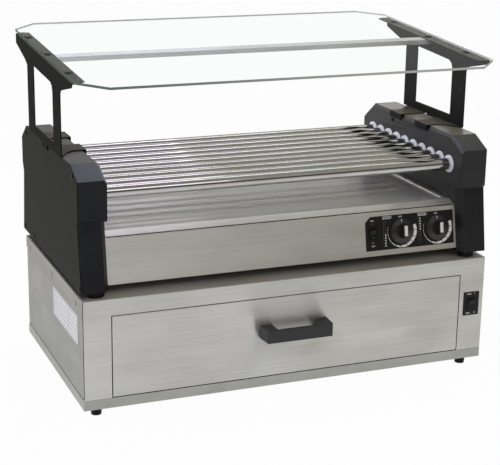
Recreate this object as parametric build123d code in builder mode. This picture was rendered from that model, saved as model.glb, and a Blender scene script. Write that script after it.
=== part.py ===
"""Roller grill with a flat glass guard, standing on a heated bun cabinet with one drawer.

Millimetres, +Z up, +X to the user's right, front facing -Y.  The origin is the
middle of the bounding box on the floor.  Depths are written as s, the distance
behind the cabinet's front face.
"""
import math
import os

from build123d import *

os.makedirs("parts", exist_ok=True)

# ---- overall -------------------------------------------------------------
WIDTH = 900.0
HALF = WIDTH / 2
CABINET_DEPTH = 480.0
FOOT_HEIGHT = 20.0
CABINET_TOP = 250.0
SHEET = 1.2
HANDLE_REACH = 38.0
RUNNING_CLEARANCE = 0.05
HOLE_CLEARANCE = 0.2
SEAM = 0.4

# ---- glass guard ---------------------------------------------------------
GUARD_SLOPE = 3.4
GUARD_MID = 272.0
GUARD_RISE = 178.2
GLASS_DEPTH = 612.0
GLASS_THICKNESS = 5.0
GLASS_CLIP_ACROSS = 52.7
GLASS_CLIP_DEEP = 54.5
BUMPER_RADIUS = 8.0
BUMPER_HEIGHT = 1.5
BRACKET_SHEET = 2.0
BRACKET_GAP = 0.3
FLANGE_WIDTH = 26.0
BUMPER_FROM_EDGE = 11.0
BUMPER_DEPTHS = (113.0, 281.0, 450.0)
ARM_FRONT = 35.5
ARM_REAR = 508.0
POST_FRONT = (128.5, 187.5)
POST_REAR = (349.5, 405.5)
WINDOW_DROP = 35.2
WINDOW_CORNER = 16.0
WINDOW_CORNER_IN = 5.0
# underside of the arms: depth, and drop below the flange's top face
REAR_ARM = ((POST_REAR[1], 46.1), (423.5, 38.2), (ARM_REAR, 20.2))
FRONT_ARM = ((ARM_FRONT, 5.7), (41.5, 10.2), (112.0, 30.4), (124.0, 34.9), (POST_FRONT[0], 42.7))
BRACKET_BAR_LIFT = 2.0
BRACKET_BAR_HEIGHT = 18.0
BRACKET_HOLE_S = 151.0
BRACKET_HOLE_RISE = 83.5
BRACKET_HOLE_RADIUS = 2.0
FLANGE_CORNER_RUN = 12.0
FLANGE_CORNER_FRONT = 8.0
FLANGE_CORNER_REAR = 5.5
FOOT_DROP = 12.0
# feet of the brackets: front and rear edge at the web, then at the inner end
FOOT_REAR = (302.0, 390.0, 300.0, 355.0)
FOOT_FRONT = (132.0, 248.0, 178.0, 233.0)
FOOT_STEP_INSET = 20.0
FOOT_STEP = HALF - FOOT_STEP_INSET
FOOT_STEP_RUN = 14.0
TAB = (245.0, 292.0)
TAB_DROP = 10.0
CENTRE_BAR_WIDTH = 30.0
CENTRE_BAR_LIP = 10.0
CENTRE_BAR_SHEET = 2.0
CENTRE_BAR_FRONT = 262.0
CENTRE_BAR_END_GAP = 2.0
BAR_SCREW_RADIUS = 5.0
BAR_SCREW_HEIGHT = 2.5

COS = math.cos(math.radians(GUARD_SLOPE))
SIN = math.sin(math.radians(GUARD_SLOPE))
GLASS_REAR = GUARD_MID + GLASS_DEPTH / 2 * COS - BUMPER_HEIGHT * SIN
FRONT = (HANDLE_REACH - GLASS_REAR) / 2

# ---- bun cabinet ---------------------------------------------------------
TRAY_FLANGE = 21.0
SKIRT = 26.0
STILE = 58.0
OPENING_HALF = HALF - STILE
OPENING_TOP = 215.0
FRAME_RETURN = 17.0
DRAWER_GAP = 2.0
DRAWER_RETURN = 16.0
RUNNER_THICKNESS = 12.7
LINER_HALF = OPENING_HALF - DRAWER_GAP
BOX_DEPTH = 445.0
BOX_BOTTOM = 60.0
BOX_TOP = 180.0
RUNNER_HEIGHT = 110.0
HANDLE_BOTTOM = 128.0
HANDLE_TOP = 156.0
CABINET_FOOT_SIDE_INSET = 32.0
CABINET_FOOT_X = HALF - CABINET_FOOT_SIDE_INSET
CABINET_FOOT_INSET = 28.0
CABINET_FOOT_RADIUS = 12.0
CABINET_FOOT_TAPER = 1.5
SIDE_SCREW_REACH = 6.0
SIDE_SCREW_DEPTHS = (54.0, 252.0, 446.0)
SIDE_SCREW_HEIGHT = 230.0
SWITCH_PLATE_INSET = 28.5
SWITCH_PLATE_X = HALF - SWITCH_PLATE_INSET
SWITCH_PLATE_Z = 146.5
SWITCH_PLATE_WIDTH = 38.0
SWITCH_PLATE_HEIGHT = 53.0
SWITCH_PLATE_THICKNESS = 1.0

# ---- roller grill --------------------------------------------------------
GRILL_BOTTOM = 263.0
GRILL_FOOT_RADIUS = 18.0
GRILL_FOOT_DEPTHS = (28.0, 440.0)
GRILL_FOOT_SIDE_INSET = 34.0
GRILL_FOOT_X = HALF - GRILL_FOOT_SIDE_INSET
GRILL_FOOT_EDGE = 2.0
CAP_WIDTH = 58.5
CAP_WALL = 4.0
CAP_SET_IN = 1.0
CAP_OUTER = HALF - CAP_SET_IN
CAP_INNER = CAP_OUTER - CAP_WIDTH
SIDE_PANEL = 1.5
CAP_BEVEL = 6.0
FRONT_BEVEL_ACROSS = 11.5
FRONT_BEVEL_BACK = 20.0
CAP_ABOVE_ROLLERS = 62.0
CAP_SHOULDER_DROP = 24.0
CAP_REAR_DROP = 33.0
CAP_NOSE_S = 21.0
CAP_WAIST_DROP = 46.0
CAP_GROOVE = 6.0
CAP_REAR_WAIST_RISE = 18.0
SLIT = (187.0, 331.0)
SLIT_DROP = 21.0
SLIT_HEIGHT = 1.2
SLIT_DEPTH = 0.6
ROLLER_COUNT = 10
ROLLER_RADIUS = 12.7
ROLLER_WALL = 1.2
ROLLER_HEIGHT = 446.0
ROLLER_FIRST = 73.5
ROLLER_PITCH = 40.6
CAP_TOP = ROLLER_HEIGHT + CAP_ABOVE_ROLLERS
CAP_WAIST = ROLLER_HEIGHT - CAP_WAIST_DROP
CAP_OUTLINE = (
    (4.5, GRILL_BOTTOM), (26.0, CAP_WAIST), (CAP_NOSE_S, CAP_WAIST + CAP_GROOVE),
    (CAP_NOSE_S, CAP_TOP - CAP_SHOULDER_DROP), (73.0, CAP_TOP), (445.0, CAP_TOP),
    (490.0, CAP_TOP - CAP_REAR_DROP), (490.0, CAP_WAIST + CAP_REAR_WAIST_RISE),
    (480.0, CAP_WAIST), (498.0, GRILL_BOTTOM),
)
GUARD_MID_HEIGHT = CAP_TOP + GUARD_RISE
LEFT_JOURNAL = 11.5
RIGHT_JOURNAL = 23.5
ROLLER_LEFT_END = -CAP_INNER - LEFT_JOURNAL
ROLLER_RIGHT_END = CAP_INNER + RIGHT_JOURNAL
RING_FLANGE_RADIUS = 19.0
RING_FLANGE = 3.5
RING_BARREL_RADIUS = 15.5
BEARING_PLATE = 2.0
HEATER_ROD_RADIUS = 4.0
SPROCKET_RADIUS = 17.0
SPROCKET_TEETH = 14
SPROCKET_SET_IN = 12.5
SPROCKET_START = CAP_INNER + SPROCKET_SET_IN
SPROCKET_WIDTH = 6.0
CHAIN_CLEARANCE = 0.3
CHAIN_THICKNESS = 6.0
CHAIN_WIDTH = 8.0
DRIVE_HEIGHT = 330.0
DRIVE_SHAFT_RADIUS = 5.0
DRIVE_HOLE_RADIUS = 7.0

PANEL_TOP_S = 42.5
PANEL_TOP_Z = 364.0
PANEL_BOTTOM_S = 24.5
PANEL_BOTTOM_Z = 270.0
PANEL_SHEET = 1.5
BASE_REAR = 478.0
BASE_REAR_TOP = 396.0

DECK_TOP = 372.0
DECK_BEVEL_S = 60.5
DECK_REAR = 474.0
DECK_SIDE_GAP = 1.9
DECK_HALF = CAP_INNER - DECK_SIDE_GAP
DECK_RIM = 12.0
DECK_RECESS = 4.0
DECK_LIP_LIFT = 0.6

OVERLAY = 0.6
OVERLAY_MARGIN = 5.0
OVERLAY_LENGTH = 210.5
OVERLAY_RIGHT = CAP_INNER - OVERLAY_MARGIN
OVERLAY_LEFT = OVERLAY_RIGHT - OVERLAY_LENGTH
OVERLAY_BOTTOM = 11.5
OVERLAY_TOP = 84.0
POWER_SWITCH_INSET = 17.0
POWER_SWITCH_X = OVERLAY_LEFT + POWER_SWITCH_INSET
POWER_SWITCH_T = 47.3
KNOB_T = 48.2
KNOB_INSET = 38.5
KNOB_SPACING = 85.5
REAR_KNOB_X = OVERLAY_RIGHT - KNOB_INSET
FRONT_KNOB_X = REAR_KNOB_X - KNOB_SPACING
KNOB_RADIUS = 27.0
KNOB_GAP = 0.4
STEM_RADIUS = 3.0
BUSHING_RADIUS = 4.7

# ---- rocker switches -----------------------------------------------------
BEZEL_WIDTH = 20.8
BEZEL_HEIGHT = 28.0
BEZEL = 2.0
SWITCH_BODY_WIDTH = 18.0
SWITCH_BODY_HEIGHT = 24.4
SWITCH_BODY_DEPTH = 25.0
ROCKER_RADIUS = 10.6
ROCKER_WIDTH = 14.8
ROCKER_GAP = 0.3
ROCKER_PIVOT = -1.0
ROCKER_PIN = 1.5
ROCKER_TILT = 8.0
ROCKER_BACK = 3.0
ROCKER_VALLEY = 3.0
ROCKER_RISE = 1.9
PIN_REACH = 0.9
SOCKET_REACH = 1.0
WELL_DEPTH = 7.0
BEZEL_EDGE = 0.8
SWITCH_PLATE_CORNER = 1.5


def block(x0, x1, s0, s1, z0, z1, mode=Mode.ADD):
    """Box given by its limits across, behind the front face, and up."""
    with Locations(((x0 + x1) / 2, FRONT + (s0 + s1) / 2, (z0 + z1) / 2)):
        Box(x1 - x0, s1 - s0, z1 - z0, mode=mode)


def rod_across(x0, x1, s, z, radius, mode=Mode.ADD):
    """Cylinder lying across the machine from x0 to x1."""
    with Locations(((x0 + x1) / 2, FRONT + s, z)):
        Cylinder(radius, x1 - x0, rotation=(0, 90, 0), mode=mode)


def rod_back(x, z, s0, s1, radius, mode=Mode.ADD):
    """Cylinder lying front to back from s0 to s1."""
    with Locations((x, FRONT + (s0 + s1) / 2, z)):
        Cylinder(radius, s1 - s0, rotation=(90, 0, 0), mode=mode)


def side_profile(points, x0, x1, mode=Mode.ADD, inset=0.0):
    """Closed outline of (s, z) points carried across from x0 to x1."""
    with BuildSketch(Plane.YZ.offset(x0)) as outline:
        with BuildLine():
            Polyline(*[(FRONT + s, z) for s, z in points], close=True)
        make_face()
        if inset:
            offset(amount=-inset, kind=Kind.INTERSECTION, mode=Mode.REPLACE)
    extrude(outline.sketch, amount=x1 - x0, mode=mode)


def local_block(x0, x1, y0, y1, h0, h1, mode=Mode.ADD):
    """Box given by its limits in the frame of the surrounding Locations."""
    with Locations(((x0 + x1) / 2, (y0 + y1) / 2, (h0 + h1) / 2)):
        Box(x1 - x0, y1 - y0, h1 - h0, mode=mode)


def local_post(x, y, h0, h1, radius, mode=Mode.ADD):
    """Cylinder standing on the plane of the surrounding Locations."""
    with Locations((x, y, (h0 + h1) / 2)):
        Cylinder(radius, h1 - h0, mode=mode)


def save(builder, label):
    """Name the finished piece and write its STEP file."""
    builder.part.label = label
    export_step(builder.part, "parts/" + label + ".step")


roller_depths = [ROLLER_FIRST + ROLLER_PITCH * i for i in range(ROLLER_COUNT)]
row_middle = (roller_depths[0] + roller_depths[-1]) / 2
wall_half = HALF - SHEET
wall_rear = CABINET_DEPTH - SHEET
cover_underside = CABINET_TOP - SHEET
tray_floor_top = FOOT_HEIGHT + SHEET
flange_top = FOOT_HEIGHT + TRAY_FLANGE
frame_bottom = flange_top + SEAM
drawer_half = OPENING_HALF - DRAWER_GAP
drawer_bottom = flange_top + DRAWER_GAP
drawer_top = OPENING_TOP - DRAWER_GAP
box_half = LINER_HALF - RUNNER_THICKNESS
handle_mid = (HANDLE_BOTTOM + HANDLE_TOP) / 2

# ======================= bun cabinet: sheet metal =========================

GLAND_BODY = 7.0
GLAND_HOLE = GLAND_BODY + RUNNING_CLEARANCE
CABINET_GLAND_INSET = 50.0
CABINET_GLAND_X = HALF - CABINET_GLAND_INSET
CABINET_GLAND_Z = 62.0
SCREW_SHANK = 2.0
SCREW_HOLE = SCREW_SHANK + HOLE_CLEARANCE

with BuildPart() as cabinet_side_right:
    block(wall_half - SHEET, wall_half, SHEET, wall_rear, tray_floor_top, cover_underside)
    for depth in SIDE_SCREW_DEPTHS:
        rod_across(0, HALF, depth, SIDE_SCREW_HEIGHT, SCREW_HOLE, mode=Mode.SUBTRACT)
save(cabinet_side_right, "cabinet_side_right")

with BuildPart() as cabinet_side_left:
    add(cabinet_side_right.part)
    mirror(about=Plane.YZ, mode=Mode.REPLACE)
save(cabinet_side_left, "cabinet_side_left")

with BuildPart() as cabinet_rear_panel:
    block(
        SHEET - wall_half, wall_half - SHEET, wall_rear - SHEET, wall_rear,
        tray_floor_top, cover_underside,
    )
    rod_back(
        CABINET_GLAND_X, CABINET_GLAND_Z, wall_rear - 2 * SHEET, wall_rear + SHEET,
        GLAND_HOLE, mode=Mode.SUBTRACT,
    )
save(cabinet_rear_panel, "cabinet_rear_panel")

frame_side = wall_half - SHEET
with BuildPart() as cabinet_front_frame:
    block(-HALF, HALF, 0, SHEET, frame_bottom, cover_underside)
    block(-frame_side, frame_side, SHEET, FRAME_RETURN, frame_bottom, cover_underside)
    block(
        OPENING_HALF + SHEET, frame_side - SHEET, SHEET, FRAME_RETURN,
        frame_bottom, cover_underside - SHEET, mode=Mode.SUBTRACT,
    )
    block(
        SHEET - frame_side, -OPENING_HALF - SHEET, SHEET, FRAME_RETURN,
        frame_bottom, cover_underside - SHEET, mode=Mode.SUBTRACT,
    )
    block(
        -OPENING_HALF - SHEET, OPENING_HALF + SHEET, SHEET, FRAME_RETURN,
        OPENING_TOP + SHEET, cover_underside - SHEET, mode=Mode.SUBTRACT,
    )
    block(-OPENING_HALF, OPENING_HALF, 0, FRAME_RETURN, 0, OPENING_TOP, mode=Mode.SUBTRACT)
    with Locations((SWITCH_PLATE_X, FRONT, SWITCH_PLATE_Z)):
        Box(
            SWITCH_BODY_WIDTH + 2 * ROCKER_GAP, 3 * SHEET,
            SWITCH_BODY_HEIGHT + 2 * HOLE_CLEARANCE, mode=Mode.SUBTRACT,
        )
save(cabinet_front_frame, "cabinet_front_frame")

with BuildPart() as cabinet_top_cover:
    block(-HALF, HALF, 0, CABINET_DEPTH, cover_underside, CABINET_TOP)
    block(-HALF, HALF, SHEET, CABINET_DEPTH, CABINET_TOP - SKIRT, cover_underside)
    block(
        -wall_half, wall_half, SHEET, wall_rear,
        CABINET_TOP - SKIRT, cover_underside, mode=Mode.SUBTRACT,
    )
    for depth in SIDE_SCREW_DEPTHS:
        rod_across(
            -HALF - SHEET, HALF + SHEET, depth, SIDE_SCREW_HEIGHT, SCREW_HOLE,
            mode=Mode.SUBTRACT,
        )
save(cabinet_top_cover, "cabinet_top_cover")

with BuildPart() as cabinet_bottom_tray:
    block(-HALF, HALF, 0, CABINET_DEPTH, FOOT_HEIGHT, flange_top)
    block(
        -wall_half, wall_half, SHEET, wall_rear,
        tray_floor_top, flange_top, mode=Mode.SUBTRACT,
    )
save(cabinet_bottom_tray, "cabinet_bottom_tray")

with BuildPart() as cabinet_feet:
    for side in (-1, 1):
        for depth in (CABINET_FOOT_INSET, CABINET_DEPTH - CABINET_FOOT_INSET):
            with Locations((side * CABINET_FOOT_X, FRONT + depth, FOOT_HEIGHT / 2)):
                Cone(
                    CABINET_FOOT_RADIUS - CABINET_FOOT_TAPER, CABINET_FOOT_RADIUS, FOOT_HEIGHT
                )
save(cabinet_feet, "cabinet_feet")

SIDE_SCREW_HEAD = 4.0
SIDE_SCREW_HEAD_HEIGHT = 1.8

with BuildPart() as cabinet_screws:
    for depth in SIDE_SCREW_DEPTHS:
        rod_across(
            HALF, HALF + SIDE_SCREW_HEAD_HEIGHT, depth, SIDE_SCREW_HEIGHT, SIDE_SCREW_HEAD
        )
        rod_across(HALF - SIDE_SCREW_REACH, HALF, depth, SIDE_SCREW_HEIGHT, SCREW_SHANK)
    mirror(about=Plane.YZ)
save(cabinet_screws, "cabinet_screws")

PLATE_THICKNESS = 0.8
PLATE_FRONT = 41.5
PLATE_LENGTH = 196.0
PLATE_BOTTOM = 146.0
PLATE_HEIGHT = 61.0

with BuildPart() as data_plate:
    block(
        -wall_half - PLATE_THICKNESS, -wall_half, PLATE_FRONT, PLATE_FRONT + PLATE_LENGTH,
        PLATE_BOTTOM, PLATE_BOTTOM + PLATE_HEIGHT,
    )
save(data_plate, "data_plate")

# ======================= bun cabinet: drawer ==============================

LEG_INNER = 50.0
LEG_OUTER = 76.0
LEG_FRONT = 72.5
HANDLE_BAR = 5.0
HANDLE_SCREW_X = (LEG_INNER + LEG_OUTER) / 2
HANDLE_BORE_DEPTH = 14.0
HANDLE_SCREW_GAP = 1.5
HANDLE_CORNER = 2.5
HANDLE_EDGE = 1.0
SCREW_HEAD_HEIGHT = 2.2

with BuildPart() as drawer_front:
    block(-drawer_half, drawer_half, 0, DRAWER_RETURN, drawer_bottom, drawer_top)
    block(
        SHEET - drawer_half, drawer_half - SHEET, SHEET, DRAWER_RETURN,
        drawer_bottom + SHEET, drawer_top - SHEET, mode=Mode.SUBTRACT,
    )
    for side in (-1, 1):
        rod_back(
            side * HANDLE_SCREW_X, handle_mid, -SHEET, 2 * SHEET, SCREW_HOLE,
            mode=Mode.SUBTRACT,
        )
save(drawer_front, "drawer_front")

with BuildPart() as drawer_inner_skin:
    block(
        SHEET - drawer_half, drawer_half - SHEET, DRAWER_RETURN - SHEET, DRAWER_RETURN,
        drawer_bottom + SHEET, drawer_top - SHEET,
    )
save(drawer_inner_skin, "drawer_inner_skin")

box_rear = DRAWER_RETURN + BOX_DEPTH
with BuildPart() as drawer_box:
    block(-box_half, box_half, DRAWER_RETURN, box_rear, BOX_BOTTOM, BOX_TOP)
    block(
        SHEET - box_half, box_half - SHEET, DRAWER_RETURN + SHEET, box_rear - SHEET,
        BOX_BOTTOM + SHEET, BOX_TOP, mode=Mode.SUBTRACT,
    )
save(drawer_box, "drawer_box")

with BuildPart() as drawer_handle:
    with BuildSketch(Plane.XY.offset(HANDLE_BOTTOM)):
        with BuildLine():
            Polyline(
                (LEG_OUTER, FRONT),
                (LEG_FRONT, FRONT - HANDLE_REACH),
                (-LEG_FRONT, FRONT - HANDLE_REACH),
                (-LEG_OUTER, FRONT),
                (-LEG_INNER, FRONT),
                (-LEG_INNER, FRONT - HANDLE_REACH + HANDLE_BAR),
                (LEG_INNER, FRONT - HANDLE_REACH + HANDLE_BAR),
                (LEG_INNER, FRONT),
                close=True,
            )
        make_face()
    extrude(amount=HANDLE_TOP - HANDLE_BOTTOM)
    outer_corners = drawer_handle.edges().filter_by(Axis.Z).group_by(Axis.Y)[0]
    fillet(outer_corners, radius=HANDLE_CORNER)
    fillet(drawer_handle.faces().sort_by(Axis.Y)[0].edges(), radius=HANDLE_EDGE)
    for side in (-1, 1):
        rod_back(
            side * HANDLE_SCREW_X, handle_mid, -HANDLE_BORE_DEPTH, 0,
            SCREW_SHANK + RUNNING_CLEARANCE, mode=Mode.SUBTRACT,
        )
save(drawer_handle, "drawer_handle")

with BuildPart() as handle_screws:
    for side in (-1, 1):
        x = side * HANDLE_SCREW_X
        rod_back(x, handle_mid, HANDLE_SCREW_GAP - HANDLE_BORE_DEPTH, SHEET, SCREW_SHANK)
        rod_back(x, handle_mid, SHEET, SHEET + SCREW_HEAD_HEIGHT, 2 * SCREW_SHANK)
save(handle_screws, "handle_screws")

LINER_FRONT = 20.0
LINER_REAR = 470.0
LINER_FLANGE = 20.0

with BuildPart() as drawer_liners:
    block(
        LINER_HALF, LINER_HALF + SHEET, LINER_FRONT, LINER_REAR,
        tray_floor_top, cover_underside,
    )
    block(
        LINER_HALF, LINER_HALF + LINER_FLANGE, LINER_FRONT, LINER_REAR,
        tray_floor_top, tray_floor_top + SHEET,
    )
    block(
        LINER_HALF, LINER_HALF + LINER_FLANGE, LINER_FRONT, LINER_REAR,
        cover_underside - SHEET, cover_underside,
    )
    mirror(about=Plane.YZ)
save(drawer_liners, "drawer_liners")

RUNNER_SHEET = 1.4
FIXED_HALF_HEIGHT = 21.0
FIXED_LIP = 8.5
RUNNER_GAP = 0.3
FIXED_RUNNER_REAR = 460.0
MOVING_RUNNER_FRONT = 22.0
MOVING_RUNNER_REAR = 442.0
moving_half = FIXED_HALF_HEIGHT - RUNNER_SHEET - RUNNER_GAP

with BuildPart() as drawer_fixed_runners:
    block(
        LINER_HALF - FIXED_LIP, LINER_HALF, LINER_FRONT, FIXED_RUNNER_REAR,
        RUNNER_HEIGHT - FIXED_HALF_HEIGHT, RUNNER_HEIGHT + FIXED_HALF_HEIGHT,
    )
    block(
        LINER_HALF - FIXED_LIP, LINER_HALF - RUNNER_SHEET, LINER_FRONT, FIXED_RUNNER_REAR,
        RUNNER_HEIGHT - FIXED_HALF_HEIGHT + RUNNER_SHEET,
        RUNNER_HEIGHT + FIXED_HALF_HEIGHT - RUNNER_SHEET, mode=Mode.SUBTRACT,
    )
    mirror(about=Plane.YZ)
save(drawer_fixed_runners, "drawer_fixed_runners")

with BuildPart() as drawer_moving_runners:
    block(
        box_half, box_half + FIXED_LIP, MOVING_RUNNER_FRONT, MOVING_RUNNER_REAR,
        RUNNER_HEIGHT - moving_half, RUNNER_HEIGHT + moving_half,
    )
    block(
        box_half + RUNNER_SHEET, box_half + FIXED_LIP, MOVING_RUNNER_FRONT, MOVING_RUNNER_REAR,
        RUNNER_HEIGHT - moving_half + RUNNER_SHEET,
        RUNNER_HEIGHT + moving_half - RUNNER_SHEET, mode=Mode.SUBTRACT,
    )
    mirror(about=Plane.YZ)
save(drawer_moving_runners, "drawer_moving_runners")

# ======================= rocker switches ==================================


def switch_body():
    """Switch housing about its own bezel plane: +Y up the face, +Z out of it."""
    with BuildPart() as body:
        local_block(
            -BEZEL_WIDTH / 2, BEZEL_WIDTH / 2, -BEZEL_HEIGHT / 2, BEZEL_HEIGHT / 2, 0, BEZEL
        )
        fillet(body.edges().group_by(Axis.Z)[-1], radius=BEZEL_EDGE)
        local_block(
            -SWITCH_BODY_WIDTH / 2, SWITCH_BODY_WIDTH / 2,
            -SWITCH_BODY_HEIGHT / 2, SWITCH_BODY_HEIGHT / 2, -SWITCH_BODY_DEPTH, 0,
        )
        well_x = ROCKER_WIDTH / 2 + ROCKER_GAP
        well_y = ROCKER_RADIUS + ROCKER_GAP
        local_block(-well_x, well_x, -well_y, well_y, -WELL_DEPTH, BEZEL, mode=Mode.SUBTRACT)
        with Locations((0, 0, ROCKER_PIVOT)):
            Cylinder(
                ROCKER_PIN + RUNNING_CLEARANCE, 2 * (well_x + SOCKET_REACH),
                rotation=(0, 90, 0), mode=Mode.SUBTRACT,
            )
    return body.part


def switch_rocker():
    """Untilted rocker about its pivot: two shallow facets with round ends."""
    facet_end = ROCKER_RADIUS + ROCKER_GAP
    with BuildPart() as rocker:
        with BuildSketch(Plane.YZ.offset(-ROCKER_WIDTH / 2)):
            Circle(ROCKER_RADIUS)
            with BuildLine():
                Polyline(
                    (-facet_end, -ROCKER_BACK), (facet_end, -ROCKER_BACK),
                    (facet_end, ROCKER_VALLEY + ROCKER_RISE), (0, ROCKER_VALLEY),
                    (-facet_end, ROCKER_VALLEY + ROCKER_RISE),
                    close=True,
                )
            make_face(mode=Mode.INTERSECT)
        extrude(amount=ROCKER_WIDTH)
        Cylinder(ROCKER_PIN, ROCKER_WIDTH + 2 * PIN_REACH, rotation=(0, 90, 0))
    return rocker.part


switch_blank = switch_body()
rocker_blank = switch_rocker()

switch_face = FRONT - SWITCH_PLATE_THICKNESS
cabinet_switch_at = Plane(
    origin=(SWITCH_PLATE_X, switch_face, SWITCH_PLATE_Z), x_dir=(1, 0, 0), z_dir=(0, -1, 0)
)

with BuildPart() as cabinet_switch_plate:
    with Locations(cabinet_switch_at):
        local_block(
            -SWITCH_PLATE_WIDTH / 2, SWITCH_PLATE_WIDTH / 2,
            -SWITCH_PLATE_HEIGHT / 2, SWITCH_PLATE_HEIGHT / 2, -SWITCH_PLATE_THICKNESS, 0,
        )
    fillet(cabinet_switch_plate.edges().filter_by(Axis.Y), radius=SWITCH_PLATE_CORNER)
    with Locations(cabinet_switch_at):
        Box(
            SWITCH_BODY_WIDTH + 2 * ROCKER_GAP, SWITCH_BODY_HEIGHT + 2 * HOLE_CLEARANCE,
            4 * SWITCH_PLATE_THICKNESS, mode=Mode.SUBTRACT,
        )
save(cabinet_switch_plate, "cabinet_switch_plate")

with BuildPart() as cabinet_switch_housing:
    with Locations(cabinet_switch_at):
        add(switch_blank)
save(cabinet_switch_housing, "cabinet_switch_housing")

with BuildPart() as cabinet_rocker:
    with Locations(cabinet_switch_at):
        with Locations(Location((0, 0, ROCKER_PIVOT), (ROCKER_TILT, 0, 0))):
            add(rocker_blank)
save(cabinet_rocker, "cabinet_rocker")

# ======================= bun cabinet: heating =============================

HEATER_TUBE = 4.0
HEATER_Z = 40.0
HEATER_INSET = 72.0
HEATER_HALF = OPENING_HALF - HEATER_INSET
HEATER_FRONT_S = 110.0
HEATER_REAR_S = 370.0
HEATER_LEAD_S = 420.0
HEATER_END_GAP = 60.0
HEATER_BEND = 25.0
HEATER_CLIP = 3.0
HEATER_CLIP_DEPTH = 10.0
HEATER_CLIP_X = (-200.0, 0.0, 200.0)

with BuildPart() as cabinet_heater:
    with BuildLine() as heater_path:
        FilletPolyline(
            (-HEATER_HALF, FRONT + HEATER_LEAD_S, HEATER_Z),
            (-HEATER_HALF, FRONT + HEATER_FRONT_S, HEATER_Z),
            (HEATER_HALF, FRONT + HEATER_FRONT_S, HEATER_Z),
            (HEATER_HALF, FRONT + HEATER_REAR_S, HEATER_Z),
            (-HEATER_HALF + HEATER_END_GAP, FRONT + HEATER_REAR_S, HEATER_Z),
            radius=HEATER_BEND,
        )
    with BuildSketch(Plane(origin=heater_path.line @ 0, z_dir=heater_path.line % 0)):
        Circle(HEATER_TUBE)
    sweep()
    for clip_x in HEATER_CLIP_X:
        for clip_s in (HEATER_FRONT_S, HEATER_REAR_S):
            block(
                clip_x - HEATER_CLIP, clip_x + HEATER_CLIP,
                clip_s - HEATER_CLIP_DEPTH / 2, clip_s + HEATER_CLIP_DEPTH / 2,
                tray_floor_top, HEATER_Z,
            )
save(cabinet_heater, "cabinet_heater")

THERMOSTAT_INSET = 78.0
THERMOSTAT_X = THERMOSTAT_INSET - HEATER_HALF
THERMOSTAT_S = 415.0
THERMOSTAT_WIDTH = 40.0
THERMOSTAT_DEPTH = 30.0
THERMOSTAT_TOP = 46.0
THERMOSTAT_CUP = 9.0
THERMOSTAT_CUP_HEIGHT = 6.0

with BuildPart() as cabinet_thermostat:
    block(
        THERMOSTAT_X - THERMOSTAT_WIDTH / 2, THERMOSTAT_X + THERMOSTAT_WIDTH / 2,
        THERMOSTAT_S - THERMOSTAT_DEPTH / 2, THERMOSTAT_S + THERMOSTAT_DEPTH / 2,
        tray_floor_top, THERMOSTAT_TOP,
    )
    cup_middle = THERMOSTAT_TOP + THERMOSTAT_CUP_HEIGHT / 2
    with Locations((THERMOSTAT_X, FRONT + THERMOSTAT_S, cup_middle)):
        Cylinder(THERMOSTAT_CUP, THERMOSTAT_CUP_HEIGHT)
save(cabinet_thermostat, "cabinet_thermostat")

# ======================= roller grill: base ===============================

panel_run = PANEL_TOP_S - PANEL_BOTTOM_S
panel_rise = PANEL_TOP_Z - PANEL_BOTTOM_Z
panel_length = math.hypot(panel_run, panel_rise)
panel_at = Plane(
    origin=(0, FRONT + PANEL_BOTTOM_S, PANEL_BOTTOM_Z),
    x_dir=(1, 0, 0),
    z_dir=(0, -panel_rise, panel_run),
)
GRILL_GLAND_INSET = 100.0
GRILL_GLAND_X = HALF - GRILL_GLAND_INSET
GRILL_GLAND_Z = 300.0
LEDGE_WIDTH = 12.5
LEDGE_INNER = CAP_INNER - LEDGE_WIDTH
PAN_FRONT = 28.0
PAN_SIDE_FRONT = 46.0
LEDGE_FRONT = 57.0
PANEL_RETURN_REAR = 56.0
PANEL_RETURN_LAP = 0.1
PANEL_FOOT_LAP = 0.7
pan_floor = PANEL_BOTTOM_Z + SHEET
pan_side = CAP_INNER - SHEET

with BuildPart() as grill_base_pan:
    block(-CAP_INNER, CAP_INNER, PAN_FRONT, BASE_REAR, pan_floor, pan_floor + SHEET)
    block(-CAP_INNER, CAP_INNER, BASE_REAR - SHEET, BASE_REAR, pan_floor, BASE_REAR_TOP)
    for side in (-1, 1):
        outer, wall, inner = side * CAP_INNER, side * pan_side, side * LEDGE_INNER
        block(
            min(outer, wall), max(outer, wall), PAN_SIDE_FRONT, BASE_REAR,
            pan_floor, PANEL_TOP_Z,
        )
        block(
            min(outer, inner), max(outer, inner), LEDGE_FRONT, BASE_REAR,
            PANEL_TOP_Z - SHEET, PANEL_TOP_Z,
        )
    rod_across(
        pan_side - SHEET, CAP_INNER + SHEET, row_middle, DRIVE_HEIGHT,
        DRIVE_HOLE_RADIUS, mode=Mode.SUBTRACT,
    )
    rod_back(
        GRILL_GLAND_X, GRILL_GLAND_Z, BASE_REAR - 2 * SHEET, BASE_REAR + SHEET,
        GLAND_HOLE, mode=Mode.SUBTRACT,
    )
save(grill_base_pan, "grill_base_pan")

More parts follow.
